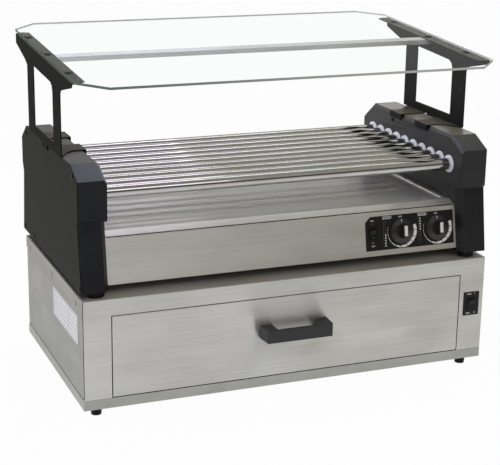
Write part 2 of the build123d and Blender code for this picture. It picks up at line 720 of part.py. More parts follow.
with BuildPart() as grill_front_panel:
    with Locations(panel_at):
        local_block(-CAP_INNER, CAP_INNER, 0, panel_length, -PANEL_SHEET, 0)
    block(
        -pan_side + ROCKER_GAP, pan_side - ROCKER_GAP,
        PANEL_TOP_S + PANEL_RETURN_LAP, PANEL_RETURN_REAR,
        PANEL_TOP_Z - SHEET, PANEL_TOP_Z,
    )
    block(
        -CAP_INNER, CAP_INNER, PANEL_BOTTOM_S + PANEL_FOOT_LAP, PANEL_TOP_S,
        PANEL_BOTTOM_Z, PANEL_BOTTOM_Z + SHEET,
    )
    with Locations(panel_at):
        local_block(
            POWER_SWITCH_X - SWITCH_BODY_WIDTH / 2 - ROCKER_GAP,
            POWER_SWITCH_X + SWITCH_BODY_WIDTH / 2 + ROCKER_GAP,
            POWER_SWITCH_T - SWITCH_BODY_HEIGHT / 2 - HOLE_CLEARANCE,
            POWER_SWITCH_T + SWITCH_BODY_HEIGHT / 2 + HOLE_CLEARANCE,
            -2 * PANEL_SHEET, PANEL_SHEET, mode=Mode.SUBTRACT,
        )
        for knob_x in (FRONT_KNOB_X, REAR_KNOB_X):
            local_post(
                knob_x, KNOB_T, -2 * PANEL_SHEET, PANEL_SHEET,
                BUSHING_RADIUS + ROCKER_GAP, mode=Mode.SUBTRACT,
            )
save(grill_front_panel, "grill_front_panel")

bevel_run = DECK_BEVEL_S - PANEL_TOP_S
lip_height = PANEL_TOP_Z + DECK_LIP_LIFT
bevel_rise = DECK_TOP - lip_height
bevel_shift = SHEET * math.hypot(bevel_run, bevel_rise) / bevel_rise
bevel_inner = PANEL_TOP_S + bevel_shift + (bevel_rise - SHEET) * bevel_run / bevel_rise
recess_half = DECK_HALF - DECK_RIM
recess_front = DECK_BEVEL_S + DECK_RIM
recess_rear = DECK_REAR - DECK_RIM
recess_floor = DECK_TOP - DECK_RECESS

with BuildPart() as drip_tray:
    side_profile(
        (
            (PANEL_TOP_S, lip_height), (DECK_BEVEL_S, DECK_TOP), (DECK_REAR, DECK_TOP),
            (DECK_REAR, PANEL_TOP_Z), (DECK_REAR - SHEET, PANEL_TOP_Z),
            (DECK_REAR - SHEET, DECK_TOP - SHEET), (bevel_inner, DECK_TOP - SHEET),
            (PANEL_TOP_S + bevel_shift, lip_height),
        ),
        -DECK_HALF, DECK_HALF,
    )
    for side in (-1, 1):
        edge, inner = side * DECK_HALF, side * (DECK_HALF - SHEET)
        block(
            min(edge, inner), max(edge, inner), DECK_BEVEL_S + SHEET, DECK_REAR,
            PANEL_TOP_Z, DECK_TOP - SHEET / 2,
        )
    block(
        -recess_half - SHEET, recess_half + SHEET, recess_front - SHEET, recess_rear + SHEET,
        recess_floor - SHEET, DECK_TOP - SHEET / 2,
    )
    block(
        -recess_half, recess_half, recess_front, recess_rear,
        recess_floor, DECK_TOP + SHEET, mode=Mode.SUBTRACT,
    )
save(drip_tray, "drip_tray")

# ======================= roller grill: end caps ===========================

RING_HOLE = RING_BARREL_RADIUS + RUNNING_CLEARANCE
INNER_SCREW_S = 344.0
INNER_SCREW_DROP = 19.5
INNER_SCREW_Z = CAP_TOP - INNER_SCREW_DROP


BEVEL_REACH = 0.5


def front_bevel(set_in):
    """Prism on the inner corner of the cap's sloped lower front, its slant set in by a wall."""
    foot_s, foot_z = CAP_OUTLINE[0]
    waist_s, waist_z = CAP_OUTLINE[1]
    slant = math.hypot(FRONT_BEVEL_ACROSS, FRONT_BEVEL_BACK)
    shift_x, shift_s = set_in * FRONT_BEVEL_BACK / slant, set_in * FRONT_BEVEL_ACROSS / slant
    past_x, past_s = BEVEL_REACH * FRONT_BEVEL_ACROSS, BEVEL_REACH * FRONT_BEVEL_BACK
    inner, outer = CAP_INNER - past_x + shift_x, CAP_INNER + FRONT_BEVEL_ACROSS + past_x + shift_x
    near = FRONT + foot_s - past_s + shift_s
    far = FRONT + foot_s + FRONT_BEVEL_BACK + past_s + shift_s
    corner_x = CAP_INNER - past_x - CAP_WALL
    corner_y = FRONT + foot_s - past_s - CAP_WALL
    rise = (0, waist_s - foot_s, waist_z - foot_z)
    with BuildPart() as wedge:
        with BuildSketch(Plane.XY.offset(foot_z)):
            with BuildLine():
                Polyline(
                    (outer, near), (inner, far), (corner_x, far), (corner_x, corner_y),
                    (outer, corner_y), close=True,
                )
            make_face()
        extrude(amount=math.hypot(rise[1], rise[2]), dir=rise)
    return wedge.part


def cap_shell():
    """Right-hand end cap: a deep tray open towards the outer side panel."""
    with BuildPart() as hollow:
        side_profile(CAP_OUTLINE, CAP_INNER + CAP_WALL, CAP_OUTER, inset=CAP_WALL)
        add(front_bevel(CAP_WALL), mode=Mode.SUBTRACT)
    with BuildPart() as cap:
        side_profile(CAP_OUTLINE, CAP_INNER, CAP_OUTER)
        inner_edges = cap.faces().sort_by(Axis.X)[0].edges()
        slant = inner_edges.filter_by(lambda e: e.center().Z > CAP_TOP - CAP_REAR_DROP)
        chamfer(slant, length=CAP_BEVEL)
        add(front_bevel(0), mode=Mode.SUBTRACT)
        add(hollow.part, mode=Mode.SUBTRACT)
        for depth in roller_depths:
            rod_across(
                CAP_INNER - SHEET, CAP_INNER + CAP_WALL + SHEET, depth, ROLLER_HEIGHT,
                RING_HOLE, mode=Mode.SUBTRACT,
            )
        rod_across(
            CAP_INNER - SHEET, CAP_INNER + CAP_WALL + SHEET, INNER_SCREW_S, INNER_SCREW_Z,
            SCREW_SHANK + RUNNING_CLEARANCE, mode=Mode.SUBTRACT,
        )
        block(
            CAP_INNER - SHEET, CAP_INNER + SLIT_DEPTH, SLIT[0], SLIT[1],
            CAP_TOP - SLIT_DROP - SLIT_HEIGHT / 2, CAP_TOP - SLIT_DROP + SLIT_HEIGHT / 2,
            mode=Mode.SUBTRACT,
        )
    return cap.part


cap_blank = cap_shell()

with BuildPart() as cap_right:
    add(cap_blank)
    rod_across(
        CAP_INNER - SHEET, CAP_INNER + CAP_WALL + SHEET, row_middle, DRIVE_HEIGHT,
        DRIVE_HOLE_RADIUS, mode=Mode.SUBTRACT,
    )
save(cap_right, "cap_right")

with BuildPart() as cap_left:
    mirror(cap_blank, about=Plane.YZ)
save(cap_left, "cap_left")

TOP_SCREW_DROP = 18.5
BOTTOM_SCREW_RISE = 9.0
PANEL_SCREWS = (
    (450.0, CAP_TOP - TOP_SCREW_DROP), (52.0, CAP_TOP - TOP_SCREW_DROP),
    (487.0, GRILL_BOTTOM + BOTTOM_SCREW_RISE), (400.0, GRILL_BOTTOM + BOTTOM_SCREW_RISE),
    (15.0, GRILL_BOTTOM + BOTTOM_SCREW_RISE),
)
PANEL_SCREW_HEAD = 4.5
PANEL_SCREW_HEIGHT = 1.8
PANEL_SCREW_REACH = 4.0
PANEL_SCREW_EDGE = 0.9
panel_outer = CAP_OUTER + SIDE_PANEL

with BuildPart() as side_panel_right:
    side_profile(CAP_OUTLINE, CAP_OUTER, panel_outer)
    for depth, height in PANEL_SCREWS:
        rod_across(
            CAP_OUTER - SHEET, panel_outer + SHEET, depth, height, SCREW_HOLE,
            mode=Mode.SUBTRACT,
        )
save(side_panel_right, "side_panel_right")

with BuildPart() as side_panel_left:
    mirror(side_panel_right.part, about=Plane.YZ)
save(side_panel_left, "side_panel_left")

with BuildPart() as side_panel_screws:
    for depth, height in PANEL_SCREWS:
        rod_across(
            panel_outer, panel_outer + PANEL_SCREW_HEIGHT, depth, height, PANEL_SCREW_HEAD
        )
        rod_across(CAP_OUTER - PANEL_SCREW_REACH, panel_outer, depth, height, SCREW_SHANK)
    fillet(side_panel_screws.edges().group_by(Axis.X)[-1], radius=PANEL_SCREW_EDGE)
    mirror(about=Plane.YZ)
save(side_panel_screws, "side_panel_screws")

BEARING_PLATE_MARGIN = 23.4
BEARING_PLATE_HALF = 28.0
plate_start = CAP_INNER + CAP_WALL
with BuildPart() as bearing_plate_right:
    block(
        plate_start, plate_start + BEARING_PLATE,
        roller_depths[0] - BEARING_PLATE_MARGIN, roller_depths[-1] + BEARING_PLATE_MARGIN,
        ROLLER_HEIGHT - BEARING_PLATE_HALF, ROLLER_HEIGHT + BEARING_PLATE_HALF,
    )
    for depth in roller_depths:
        rod_across(
            plate_start - SHEET, plate_start + BEARING_PLATE + SHEET, depth, ROLLER_HEIGHT,
            RING_HOLE, mode=Mode.SUBTRACT,
        )
save(bearing_plate_right, "bearing_plate_right")

with BuildPart() as bearing_plate_left:
    mirror(bearing_plate_right.part, about=Plane.YZ)
save(bearing_plate_left, "bearing_plate_left")

with BuildPart() as grill_feet:
    for side in (-1, 1):
        for depth in GRILL_FOOT_DEPTHS:
            middle = (CABINET_TOP + GRILL_BOTTOM) / 2
            with Locations((side * GRILL_FOOT_X, FRONT + depth, middle)):
                Cylinder(GRILL_FOOT_RADIUS, GRILL_BOTTOM - CABINET_TOP)
    fillet(grill_feet.edges().group_by(Axis.Z)[0], radius=GRILL_FOOT_EDGE)
save(grill_feet, "grill_feet")

# ======================= roller grill: rollers ============================

RING_TAIL = 1.0
RING_EDGE = 1.2
ring_end = CAP_INNER + CAP_WALL + BEARING_PLATE + RING_TAIL

with BuildPart() as roller_bearings:
    for depth in roller_depths:
        rod_across(CAP_INNER - RING_FLANGE, CAP_INNER, depth, ROLLER_HEIGHT, RING_FLANGE_RADIUS)
    fillet(roller_bearings.edges().group_by(Axis.X)[0], radius=RING_EDGE)
    for depth in roller_depths:
        rod_across(CAP_INNER, ring_end, depth, ROLLER_HEIGHT, RING_BARREL_RADIUS)
        rod_across(
            CAP_INNER - 2 * RING_FLANGE, ring_end + SHEET, depth, ROLLER_HEIGHT,
            ROLLER_RADIUS + RUNNING_CLEARANCE, mode=Mode.SUBTRACT,
        )
    mirror(about=Plane.YZ)
save(roller_bearings, "roller_bearings")


TOOTH_GAP_SHARE = 0.55
TOOTH_GAP_LIFT = 0.6


def sprocket_teeth(depth, height):
    """Cut the tooth gaps round a sprocket standing at (depth, height)."""
    gap_radius = math.pi * SPROCKET_RADIUS / SPROCKET_TEETH * TOOTH_GAP_SHARE
    gap_circle = SPROCKET_RADIUS + TOOTH_GAP_LIFT
    for tooth in range(SPROCKET_TEETH):
        angle = 2 * math.pi * (tooth + 0.5) / SPROCKET_TEETH
        rod_across(
            SPROCKET_START - SHEET, SPROCKET_START + SPROCKET_WIDTH + SHEET,
            depth + gap_circle * math.cos(angle), height + gap_circle * math.sin(angle),
            gap_radius, mode=Mode.SUBTRACT,
        )


for number, depth in enumerate(roller_depths, start=1):
    with BuildPart() as roller:
        rod_across(
            SPROCKET_START, SPROCKET_START + SPROCKET_WIDTH, depth, ROLLER_HEIGHT,
            SPROCKET_RADIUS,
        )
        sprocket_teeth(depth, ROLLER_HEIGHT)
        rod_across(ROLLER_LEFT_END, ROLLER_RIGHT_END, depth, ROLLER_HEIGHT, ROLLER_RADIUS)
        rod_across(
            ROLLER_LEFT_END - SHEET, ROLLER_RIGHT_END + SHEET, depth, ROLLER_HEIGHT,
            ROLLER_RADIUS - ROLLER_WALL, mode=Mode.SUBTRACT,
        )
    save(roller, "roller_%02d" % number)

ROD_INSET = 15.0
ROD_END = CAP_OUTER - ROD_INSET
STRIP_INSET = 18.0
STRIP_THICKNESS = 3.0
STRIP_END = CAP_OUTER - STRIP_INSET
STRIP_START = STRIP_END - STRIP_THICKNESS
POST_DROP = 15.0
POST_RADIUS = 4.0
BAYS_PER_POST = 4
STRIP_MARGIN = 18.9
STRIP_UP = 10.0
STRIP_DOWN = 22.0

with BuildPart() as roller_heaters:
    for depth in roller_depths:
        rod_across(-ROD_END, ROD_END, depth, ROLLER_HEIGHT, HEATER_ROD_RADIUS)
save(roller_heaters, "roller_heaters")

with BuildPart() as heater_strips:
    block(
        STRIP_START, STRIP_END, roller_depths[0] - STRIP_MARGIN,
        roller_depths[-1] + STRIP_MARGIN, ROLLER_HEIGHT - STRIP_DOWN, ROLLER_HEIGHT + STRIP_UP,
    )
    for bay in range(0, ROLLER_COUNT, BAYS_PER_POST):
        rod_across(
            plate_start + BEARING_PLATE, STRIP_START, roller_depths[bay] + ROLLER_PITCH / 2,
            ROLLER_HEIGHT - POST_DROP, POST_RADIUS,
        )
    for depth in roller_depths:
        rod_across(
            STRIP_START - SHEET, STRIP_END + SHEET, depth, ROLLER_HEIGHT,
            HEATER_ROD_RADIUS + RUNNING_CLEARANCE, mode=Mode.SUBTRACT,
        )
    mirror(about=Plane.YZ)
save(heater_strips, "heater_strips")

# ======================= roller grill: drive ==============================

GEARBOX_INSET = 18.5
GEARBOX_LENGTH = 42.0
GEARBOX_FACE = CAP_INNER - GEARBOX_INSET
GEARBOX_START = GEARBOX_FACE - GEARBOX_LENGTH
SHAFT_ROOT = 14.0
SHAFT_START = GEARBOX_FACE - SHAFT_ROOT
SHAFT_TAIL = 5.0
SHAFT_END = SPROCKET_START + SPROCKET_WIDTH + SHAFT_TAIL
GEARBOX_HALF = 30.0
GEARBOX_UP = 31.0
GEARBOX_DOWN = 34.0
RISER_HALF = 20.0
MOTOR_FOOT_TOE = 10.0
MOTOR_FOOT_START = GEARBOX_START - MOTOR_FOOT_TOE
MOTOR_FOOT_HALF = 40.0
MOTOR_FOOT_HEIGHT = 2.2
MOTOR_LENGTH = 68.0
MOTOR_START = GEARBOX_START - MOTOR_LENGTH
MOTOR_DROP = 5.0
MOTOR_RADIUS = 24.0

with BuildPart() as gear_motor:
    block(
        GEARBOX_START, GEARBOX_FACE, row_middle - GEARBOX_HALF, row_middle + GEARBOX_HALF,
        DRIVE_HEIGHT - GEARBOX_DOWN, DRIVE_HEIGHT + GEARBOX_UP,
    )
    block(
        GEARBOX_START, GEARBOX_FACE, row_middle - RISER_HALF, row_middle + RISER_HALF,
        pan_floor + SHEET, DRIVE_HEIGHT - GEARBOX_DOWN,
    )
    block(
        MOTOR_FOOT_START, GEARBOX_FACE,
        row_middle - MOTOR_FOOT_HALF, row_middle + MOTOR_FOOT_HALF,
        pan_floor + SHEET, pan_floor + SHEET + MOTOR_FOOT_HEIGHT,
    )
    rod_across(
        MOTOR_START, GEARBOX_START, row_middle, DRIVE_HEIGHT - MOTOR_DROP, MOTOR_RADIUS
    )
    rod_across(
        SHAFT_START - SHEET, GEARBOX_FACE + SHEET, row_middle, DRIVE_HEIGHT,
        DRIVE_SHAFT_RADIUS + RUNNING_CLEARANCE, mode=Mode.SUBTRACT,
    )
save(gear_motor, "gear_motor")

with BuildPart() as drive_sprocket:
    rod_across(
        SPROCKET_START, SPROCKET_START + SPROCKET_WIDTH, row_middle, DRIVE_HEIGHT,
        SPROCKET_RADIUS,
    )
    sprocket_teeth(row_middle, DRIVE_HEIGHT)
    rod_across(SHAFT_START, SHAFT_END, row_middle, DRIVE_HEIGHT, DRIVE_SHAFT_RADIUS)
save(drive_sprocket, "drive_sprocket")

chain_corners = (
    (FRONT + roller_depths[0], ROLLER_HEIGHT),
    (FRONT + roller_depths[-1], ROLLER_HEIGHT),
    (FRONT + row_middle, DRIVE_HEIGHT),
)
chain_inner = SPROCKET_RADIUS + CHAIN_CLEARANCE
chain_start = SPROCKET_START + (SPROCKET_WIDTH - CHAIN_WIDTH) / 2

with BuildPart() as drive_chain:
    with BuildSketch(Plane.YZ.offset(chain_start)):
        with BuildLine():
            Polyline(*chain_corners, close=True)
        make_face()
        offset(amount=chain_inner + CHAIN_THICKNESS, mode=Mode.REPLACE)
    extrude(amount=CHAIN_WIDTH)
    with BuildSketch(Plane.YZ.offset(chain_start)):
        with BuildLine():
            Polyline(*chain_corners, close=True)
        make_face()
        offset(amount=chain_inner, mode=Mode.REPLACE)
    extrude(amount=CHAIN_WIDTH, mode=Mode.SUBTRACT)
save(drive_chain, "drive_chain")

# ======================= roller grill: controls ===========================

CLIP_ACROSS = 12.0
CLIP_DOWN = 12.0
BUSHING_HOLE = BUSHING_RADIUS + ROCKER_GAP

with BuildPart() as control_overlay:
    with BuildSketch(panel_at):
        with BuildLine():
            Polyline(
                (OVERLAY_LEFT, OVERLAY_BOTTOM),
                (OVERLAY_RIGHT, OVERLAY_BOTTOM),
                (OVERLAY_RIGHT, OVERLAY_TOP),
                (OVERLAY_LEFT + CLIP_ACROSS, OVERLAY_TOP),
                (OVERLAY_LEFT, OVERLAY_TOP - CLIP_DOWN),
                close=True,
            )
        make_face()
        with Locations((POWER_SWITCH_X, POWER_SWITCH_T)):
            Rectangle(
                SWITCH_BODY_WIDTH + 2 * ROCKER_GAP,
                SWITCH_BODY_HEIGHT + 2 * HOLE_CLEARANCE, mode=Mode.SUBTRACT,
            )
        with Locations((FRONT_KNOB_X, KNOB_T), (REAR_KNOB_X, KNOB_T)):
            Circle(BUSHING_HOLE, mode=Mode.SUBTRACT)
    extrude(amount=OVERLAY)
save(control_overlay, "control_overlay")

with BuildPart() as power_switch_housing:
    with Locations(panel_at):
        with Locations((POWER_SWITCH_X, POWER_SWITCH_T, OVERLAY)):
            add(switch_blank)
save(power_switch_housing, "power_switch_housing")

with BuildPart() as power_rocker:
    with Locations(panel_at):
        with Locations((POWER_SWITCH_X, POWER_SWITCH_T, OVERLAY)):
            with Locations(Location((0, 0, ROCKER_PIVOT), (ROCKER_TILT, 0, 0))):
                add(rocker_blank)
save(power_rocker, "power_rocker")

RIM_TOP = 1.8
DISC_RADIUS = 16.2
DISC_TOP = 5.0
GRIP_WIDTH = 13.0
GRIP_LENGTH = 30.0
GRIP_CORNER = 2.6
GRIP_TAPER = 7.0
GRIP_TOP = 19.5
GRIP_EDGE = 0.6
STEM_DEPTH = 12.0


def heat_knob():
    """Dial about its shaft: rim, sloped skirt, centre disc, drafted grip bar and stem."""
    with BuildPart() as knob:
        local_post(0, 0, OVERLAY + KNOB_GAP, RIM_TOP, KNOB_RADIUS)
        with Locations((0, 0, (RIM_TOP + DISC_TOP) / 2)):
            Cone(KNOB_RADIUS, DISC_RADIUS, DISC_TOP - RIM_TOP)
        with BuildSketch(Plane.XY.offset(DISC_TOP)):
            RectangleRounded(GRIP_WIDTH, GRIP_LENGTH, GRIP_CORNER)
        extrude(amount=GRIP_TOP - DISC_TOP, taper=GRIP_TAPER)
        fillet(knob.faces().sort_by(Axis.Z)[-1].edges(), radius=GRIP_EDGE)
        local_post(0, 0, -STEM_DEPTH, OVERLAY + KNOB_GAP, STEM_RADIUS)
    return knob.part


knob_blank = heat_knob()

with BuildPart() as front_heat_knob:
    with Locations(panel_at):
        with Locations((FRONT_KNOB_X, KNOB_T, 0)):
            add(knob_blank)
save(front_heat_knob, "front_heat_knob")

with BuildPart() as rear_heat_knob:
    with Locations(panel_at):
        with Locations((REAR_KNOB_X, KNOB_T, 0)):
            add(knob_blank)
save(rear_heat_knob, "rear_heat_knob")

CONTROL_HALF_WIDTH = 16.0
CONTROL_HALF_HEIGHT = 18.0
CONTROL_DEPTH = 28.0
STEM_END_GAP = 2.0

with BuildPart() as heat_controls:
    with Locations(panel_at):
        for knob_x in (FRONT_KNOB_X, REAR_KNOB_X):
            local_block(
                knob_x - CONTROL_HALF_WIDTH, knob_x + CONTROL_HALF_WIDTH,
                KNOB_T - CONTROL_HALF_HEIGHT, KNOB_T + CONTROL_HALF_HEIGHT,
                -PANEL_SHEET - CONTROL_DEPTH, -PANEL_SHEET,
            )
            local_post(knob_x, KNOB_T, -PANEL_SHEET, OVERLAY, BUSHING_RADIUS)
            local_post(
                knob_x, KNOB_T, -STEM_DEPTH - STEM_END_GAP, OVERLAY + SHEET,
                STEM_RADIUS + RUNNING_CLEARANCE, mode=Mode.SUBTRACT,
            )
save(heat_controls, "heat_controls")

GLAND_FLANGE = 10.0
GLAND_NUT = 9.5
GLAND_BORE = 3.5
GLAND_HEAD = 5.0
GLAND_NUT_DEPTH = 6.0

with BuildPart() as cord_glands:
    for gland_x, gland_z, wall_rear in (
        (CABINET_GLAND_X, CABINET_GLAND_Z, wall_rear),
        (GRILL_GLAND_X, GRILL_GLAND_Z, BASE_REAR),
    ):
        rod_back(gland_x, gland_z, wall_rear, wall_rear + GLAND_HEAD, GLAND_FLANGE)
        rod_back(gland_x, gland_z, wall_rear - SHEET, wall_rear, GLAND_BODY)
        nut_end = wall_rear - SHEET - GLAND_NUT_DEPTH
        rod_back(gland_x, gland_z, nut_end, wall_rear - SHEET, GLAND_NUT)
        rod_back(
            gland_x, gland_z, nut_end - SHEET, wall_rear + GLAND_HEAD + SHEET,
            GLAND_BORE, mode=Mode.SUBTRACT,
        )
save(cord_glands, "cord_glands")

# ======================= glass guard ======================================

web_inner = panel_outer + BRACKET_GAP
web_outer = web_inner + BRACKET_SHEET
guard_at = Plane(
    origin=(0, FRONT + GUARD_MID, GUARD_MID_HEIGHT), x_dir=(1, 0, 0), z_dir=(0, -SIN, COS)
)


def along_guard(depth):
    """Position along the sloping flange of a point at the given depth."""
    return (depth - GUARD_MID) / COS


def flange_height(depth):
    """Height of the flange's top face at the given depth."""
    return GUARD_MID_HEIGHT + (depth - GUARD_MID) * SIN / COS


bar_bottom = CAP_TOP + BRACKET_BAR_LIFT
bar_top = bar_bottom + BRACKET_BAR_HEIGHT
window_left = POST_FRONT[1]


def window_height(depth):
    """Height of the sloping top edge of the bracket's window."""
    return flange_height(depth) - WINDOW_DROP


def foot_plate(web_front, web_back, inner_front, inner_back):
    """Foot lying on the cap, widening towards the web, turned down inside."""
    with BuildSketch(Plane.XY.offset(CAP_TOP)) as foot:
        with BuildLine():
            Polyline(
                (CAP_INNER - BRACKET_GAP - BRACKET_SHEET, FRONT + inner_front),
                (FOOT_STEP - FOOT_STEP_RUN, FRONT + inner_front),
                (FOOT_STEP, FRONT + (inner_front * 3 + web_front) / 4),
                (web_outer - BRACKET_SHEET, FRONT + web_front),
                (web_outer, FRONT + web_front),
                (web_outer, FRONT + web_back),
                (web_outer - BRACKET_SHEET, FRONT + web_back),
                (FOOT_STEP, FRONT + (inner_back * 3 + web_back) / 4),
                (FOOT_STEP - FOOT_STEP_RUN, FRONT + inner_back),
                (CAP_INNER - BRACKET_GAP - BRACKET_SHEET, FRONT + inner_back),
                close=True,
            )
        make_face()
    extrude(foot.sketch, amount=BRACKET_SHEET)
    block(
        CAP_INNER - BRACKET_GAP - BRACKET_SHEET, CAP_INNER - BRACKET_GAP,
        inner_front, inner_back, CAP_TOP - FOOT_DROP, CAP_TOP,
    )


with BuildPart() as guard_bracket_right:
    side_profile(
        [(POST_FRONT[0], bar_bottom), (POST_REAR[1], bar_bottom)]
        + [(depth, flange_height(depth) - drop) for depth, drop in REAR_ARM]
        + [(ARM_REAR, flange_height(ARM_REAR)), (ARM_FRONT, flange_height(ARM_FRONT))]
        + [(depth, flange_height(depth) - drop) for depth, drop in FRONT_ARM],
        web_inner, web_outer,
    )
    side_profile(
        (
            (window_left, bar_top), (POST_REAR[0], bar_top),
            (POST_REAR[0], window_height(POST_REAR[0])),
            (window_left + WINDOW_CORNER, window_height(window_left + WINDOW_CORNER)),
            (window_left + WINDOW_CORNER_IN, window_height(window_left) - WINDOW_CORNER_IN),
            (window_left, window_height(window_left) - WINDOW_CORNER),
        ),
        web_inner - SHEET, web_outer + SHEET, mode=Mode.SUBTRACT,
    )
    rod_across(
        web_inner - SHEET, web_outer + SHEET, BRACKET_HOLE_S, CAP_TOP + BRACKET_HOLE_RISE,
        BRACKET_HOLE_RADIUS, mode=Mode.SUBTRACT,
    )
    block(web_inner, web_outer, TAB[0], TAB[1], CAP_TOP - TAB_DROP, bar_bottom)
    foot_plate(*FOOT_REAR)
    foot_plate(*FOOT_FRONT)
    with BuildSketch(guard_at) as flange:
        with BuildLine():
            Polyline(
                (web_inner - FLANGE_WIDTH, along_guard(ARM_FRONT + FLANGE_CORNER_FRONT)),
                (web_inner - FLANGE_CORNER_RUN, along_guard(ARM_FRONT)),
                (web_inner + BRACKET_SHEET / 2, along_guard(ARM_FRONT)),
                (web_inner + BRACKET_SHEET / 2, along_guard(ARM_REAR)),
                (web_inner - FLANGE_CORNER_RUN, along_guard(ARM_REAR)),
                (web_inner - FLANGE_WIDTH, along_guard(ARM_REAR - FLANGE_CORNER_REAR)),
                close=True,
            )
        make_face()
    extrude(flange.sketch, amount=-BRACKET_SHEET)
save(guard_bracket_right, "guard_bracket_right")

with BuildPart() as guard_bracket_left:
    mirror(guard_bracket_right.part, about=Plane.YZ)
save(guard_bracket_left, "guard_bracket_left")

with BuildPart() as guard_bumpers:
    with Locations(guard_at):
        for side in (-1, 1):
            for depth in BUMPER_DEPTHS:
                local_post(
                    side * (HALF - BUMPER_FROM_EDGE), along_guard(depth),
                    0, BUMPER_HEIGHT, BUMPER_RADIUS,
                )
save(guard_bumpers, "guard_bumpers")

bar_half = HALF - CENTRE_BAR_END_GAP

with BuildPart() as guard_centre_bar:
    with Locations(guard_at):
        bar_front = along_guard(CENTRE_BAR_FRONT)
        local_block(
            -bar_half, bar_half, bar_front, bar_front + CENTRE_BAR_WIDTH,
            -BRACKET_SHEET - CENTRE_BAR_SHEET, -BRACKET_SHEET,
        )
        local_block(
            -bar_half, bar_half, bar_front, bar_front + CENTRE_BAR_SHEET,
            -BRACKET_SHEET - CENTRE_BAR_LIP, -BRACKET_SHEET,
        )
save(guard_centre_bar, "guard_centre_bar")

INNER_SCREW_HEAD = 4.5
INNER_SCREW_HEIGHT = 2.0

with BuildPart() as guard_screws:
    rod_across(
        CAP_INNER - INNER_SCREW_HEIGHT, CAP_INNER, INNER_SCREW_S, INNER_SCREW_Z,
        INNER_SCREW_HEAD,
    )
    rod_across(
        CAP_INNER, CAP_INNER + CAP_WALL + INNER_SCREW_HEIGHT, INNER_SCREW_S, INNER_SCREW_Z,
        SCREW_SHANK,
    )
    bar_underside = -BRACKET_SHEET - CENTRE_BAR_SHEET
    with Locations(guard_at):
        local_post(
            HALF - BUMPER_FROM_EDGE, along_guard(CENTRE_BAR_FRONT) + CENTRE_BAR_WIDTH / 2,
            bar_underside - BAR_SCREW_HEIGHT, bar_underside, BAR_SCREW_RADIUS,
        )
    mirror(about=Plane.YZ)
save(guard_screws, "guard_screws")

with BuildPart() as guard_glass:
    with BuildSketch(guard_at.offset(BUMPER_HEIGHT)):
        half_deep = GLASS_DEPTH / 2
        with BuildLine():
            Polyline(
                (HALF - GLASS_CLIP_ACROSS, -half_deep),
                (HALF, -half_deep + GLASS_CLIP_DEEP),
                (HALF, half_deep - GLASS_CLIP_DEEP),
                (HALF - GLASS_CLIP_ACROSS, half_deep),
                (-HALF + GLASS_CLIP_ACROSS, half_deep),
                (-HALF, half_deep - GLASS_CLIP_DEEP),
                (-HALF, -half_deep + GLASS_CLIP_DEEP),
                (-HALF + GLASS_CLIP_ACROSS, -half_deep),
                close=True,
            )
        make_face()
    extrude(amount=GLASS_THICKNESS)
save(guard_glass, "guard_glass")
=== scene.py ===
"""Finishes, printed marks and small moulded detail of a roller grill that stands on a bun cabinet.

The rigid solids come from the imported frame. This script dresses each of them in a procedural
finish, adds the pieces that are too fine for the solids, and stands the grill in a plain studio.
Lengths on the machine are millimetres. Those of the studio and of shader coordinates are metres.
"""

from __future__ import annotations

import logging
import math
from dataclasses import dataclass, field
from enum import Enum
from typing import Any

import bpy
import numpy as np
from mathutils import Matrix, Vector

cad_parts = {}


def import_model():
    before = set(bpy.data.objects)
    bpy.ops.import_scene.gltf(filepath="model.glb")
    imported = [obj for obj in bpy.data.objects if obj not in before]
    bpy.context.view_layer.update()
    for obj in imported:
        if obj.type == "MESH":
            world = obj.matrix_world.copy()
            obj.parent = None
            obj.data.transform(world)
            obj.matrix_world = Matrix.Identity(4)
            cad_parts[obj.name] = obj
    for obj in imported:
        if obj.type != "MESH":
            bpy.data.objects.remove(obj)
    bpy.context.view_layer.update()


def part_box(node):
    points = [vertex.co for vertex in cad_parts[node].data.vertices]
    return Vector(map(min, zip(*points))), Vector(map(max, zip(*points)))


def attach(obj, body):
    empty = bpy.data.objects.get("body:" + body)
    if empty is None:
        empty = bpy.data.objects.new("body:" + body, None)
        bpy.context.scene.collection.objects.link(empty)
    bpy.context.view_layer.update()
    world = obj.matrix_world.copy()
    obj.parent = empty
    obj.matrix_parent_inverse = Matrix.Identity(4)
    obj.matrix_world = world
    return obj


LOG = logging.getLogger("roller_grill")
MM = 0.001
IMAGE_WIDTH = 500

Tree = bpy.types.NodeTree
Socket = bpy.types.NodeSocket
Inputs = dict[Any, Any]
Triple = tuple[float, float, float]
Stops = tuple[tuple[float, float], ...]


# ============================== colour and nodes ==============================


def linear(code: str) -> tuple[float, float, float, float]:
    """Turns an sRGB hex colour into Blender's linear RGBA.

    Args:
        code: six hex digits, with or without a leading hash.

    Returns:
        Linear red, green and blue, and an alpha of one.
    """
    digits = code.lstrip("#")
    srgb = np.array([int(digits[i : i + 2], 16) for i in (0, 2, 4)]) / 255.0
    low, high = srgb / 12.92, ((srgb + 0.055) / 1.055) ** 2.4
    red, green, blue = np.where(srgb <= 0.04045, low, high)
    return float(red), float(green), float(blue), 1.0


def add_node(tree: Tree, kind: str, inputs: Inputs | None = None, **settings: Any) -> Any:
    """Adds one shader node with its settings, values and links.

    Args:
        tree: the node tree that gets the node.
        kind: the node's type name in Blender, without the ShaderNode that it starts with.
        inputs: socket name or index, to a value or to the socket that feeds it.
        **settings: the node's own attributes, set before its inputs.

    Returns:
        The new node's output sockets.
    """
    made = tree.nodes.new("ShaderNode" + kind)
    for key, value in settings.items():
        setattr(made, key, value)
    for key, value in (inputs or {}).items():
        socket = made.inputs[key]
        if isinstance(value, Socket):
            tree.links.new(value, socket)
        else:
            socket.default_value = value
    return made.outputs


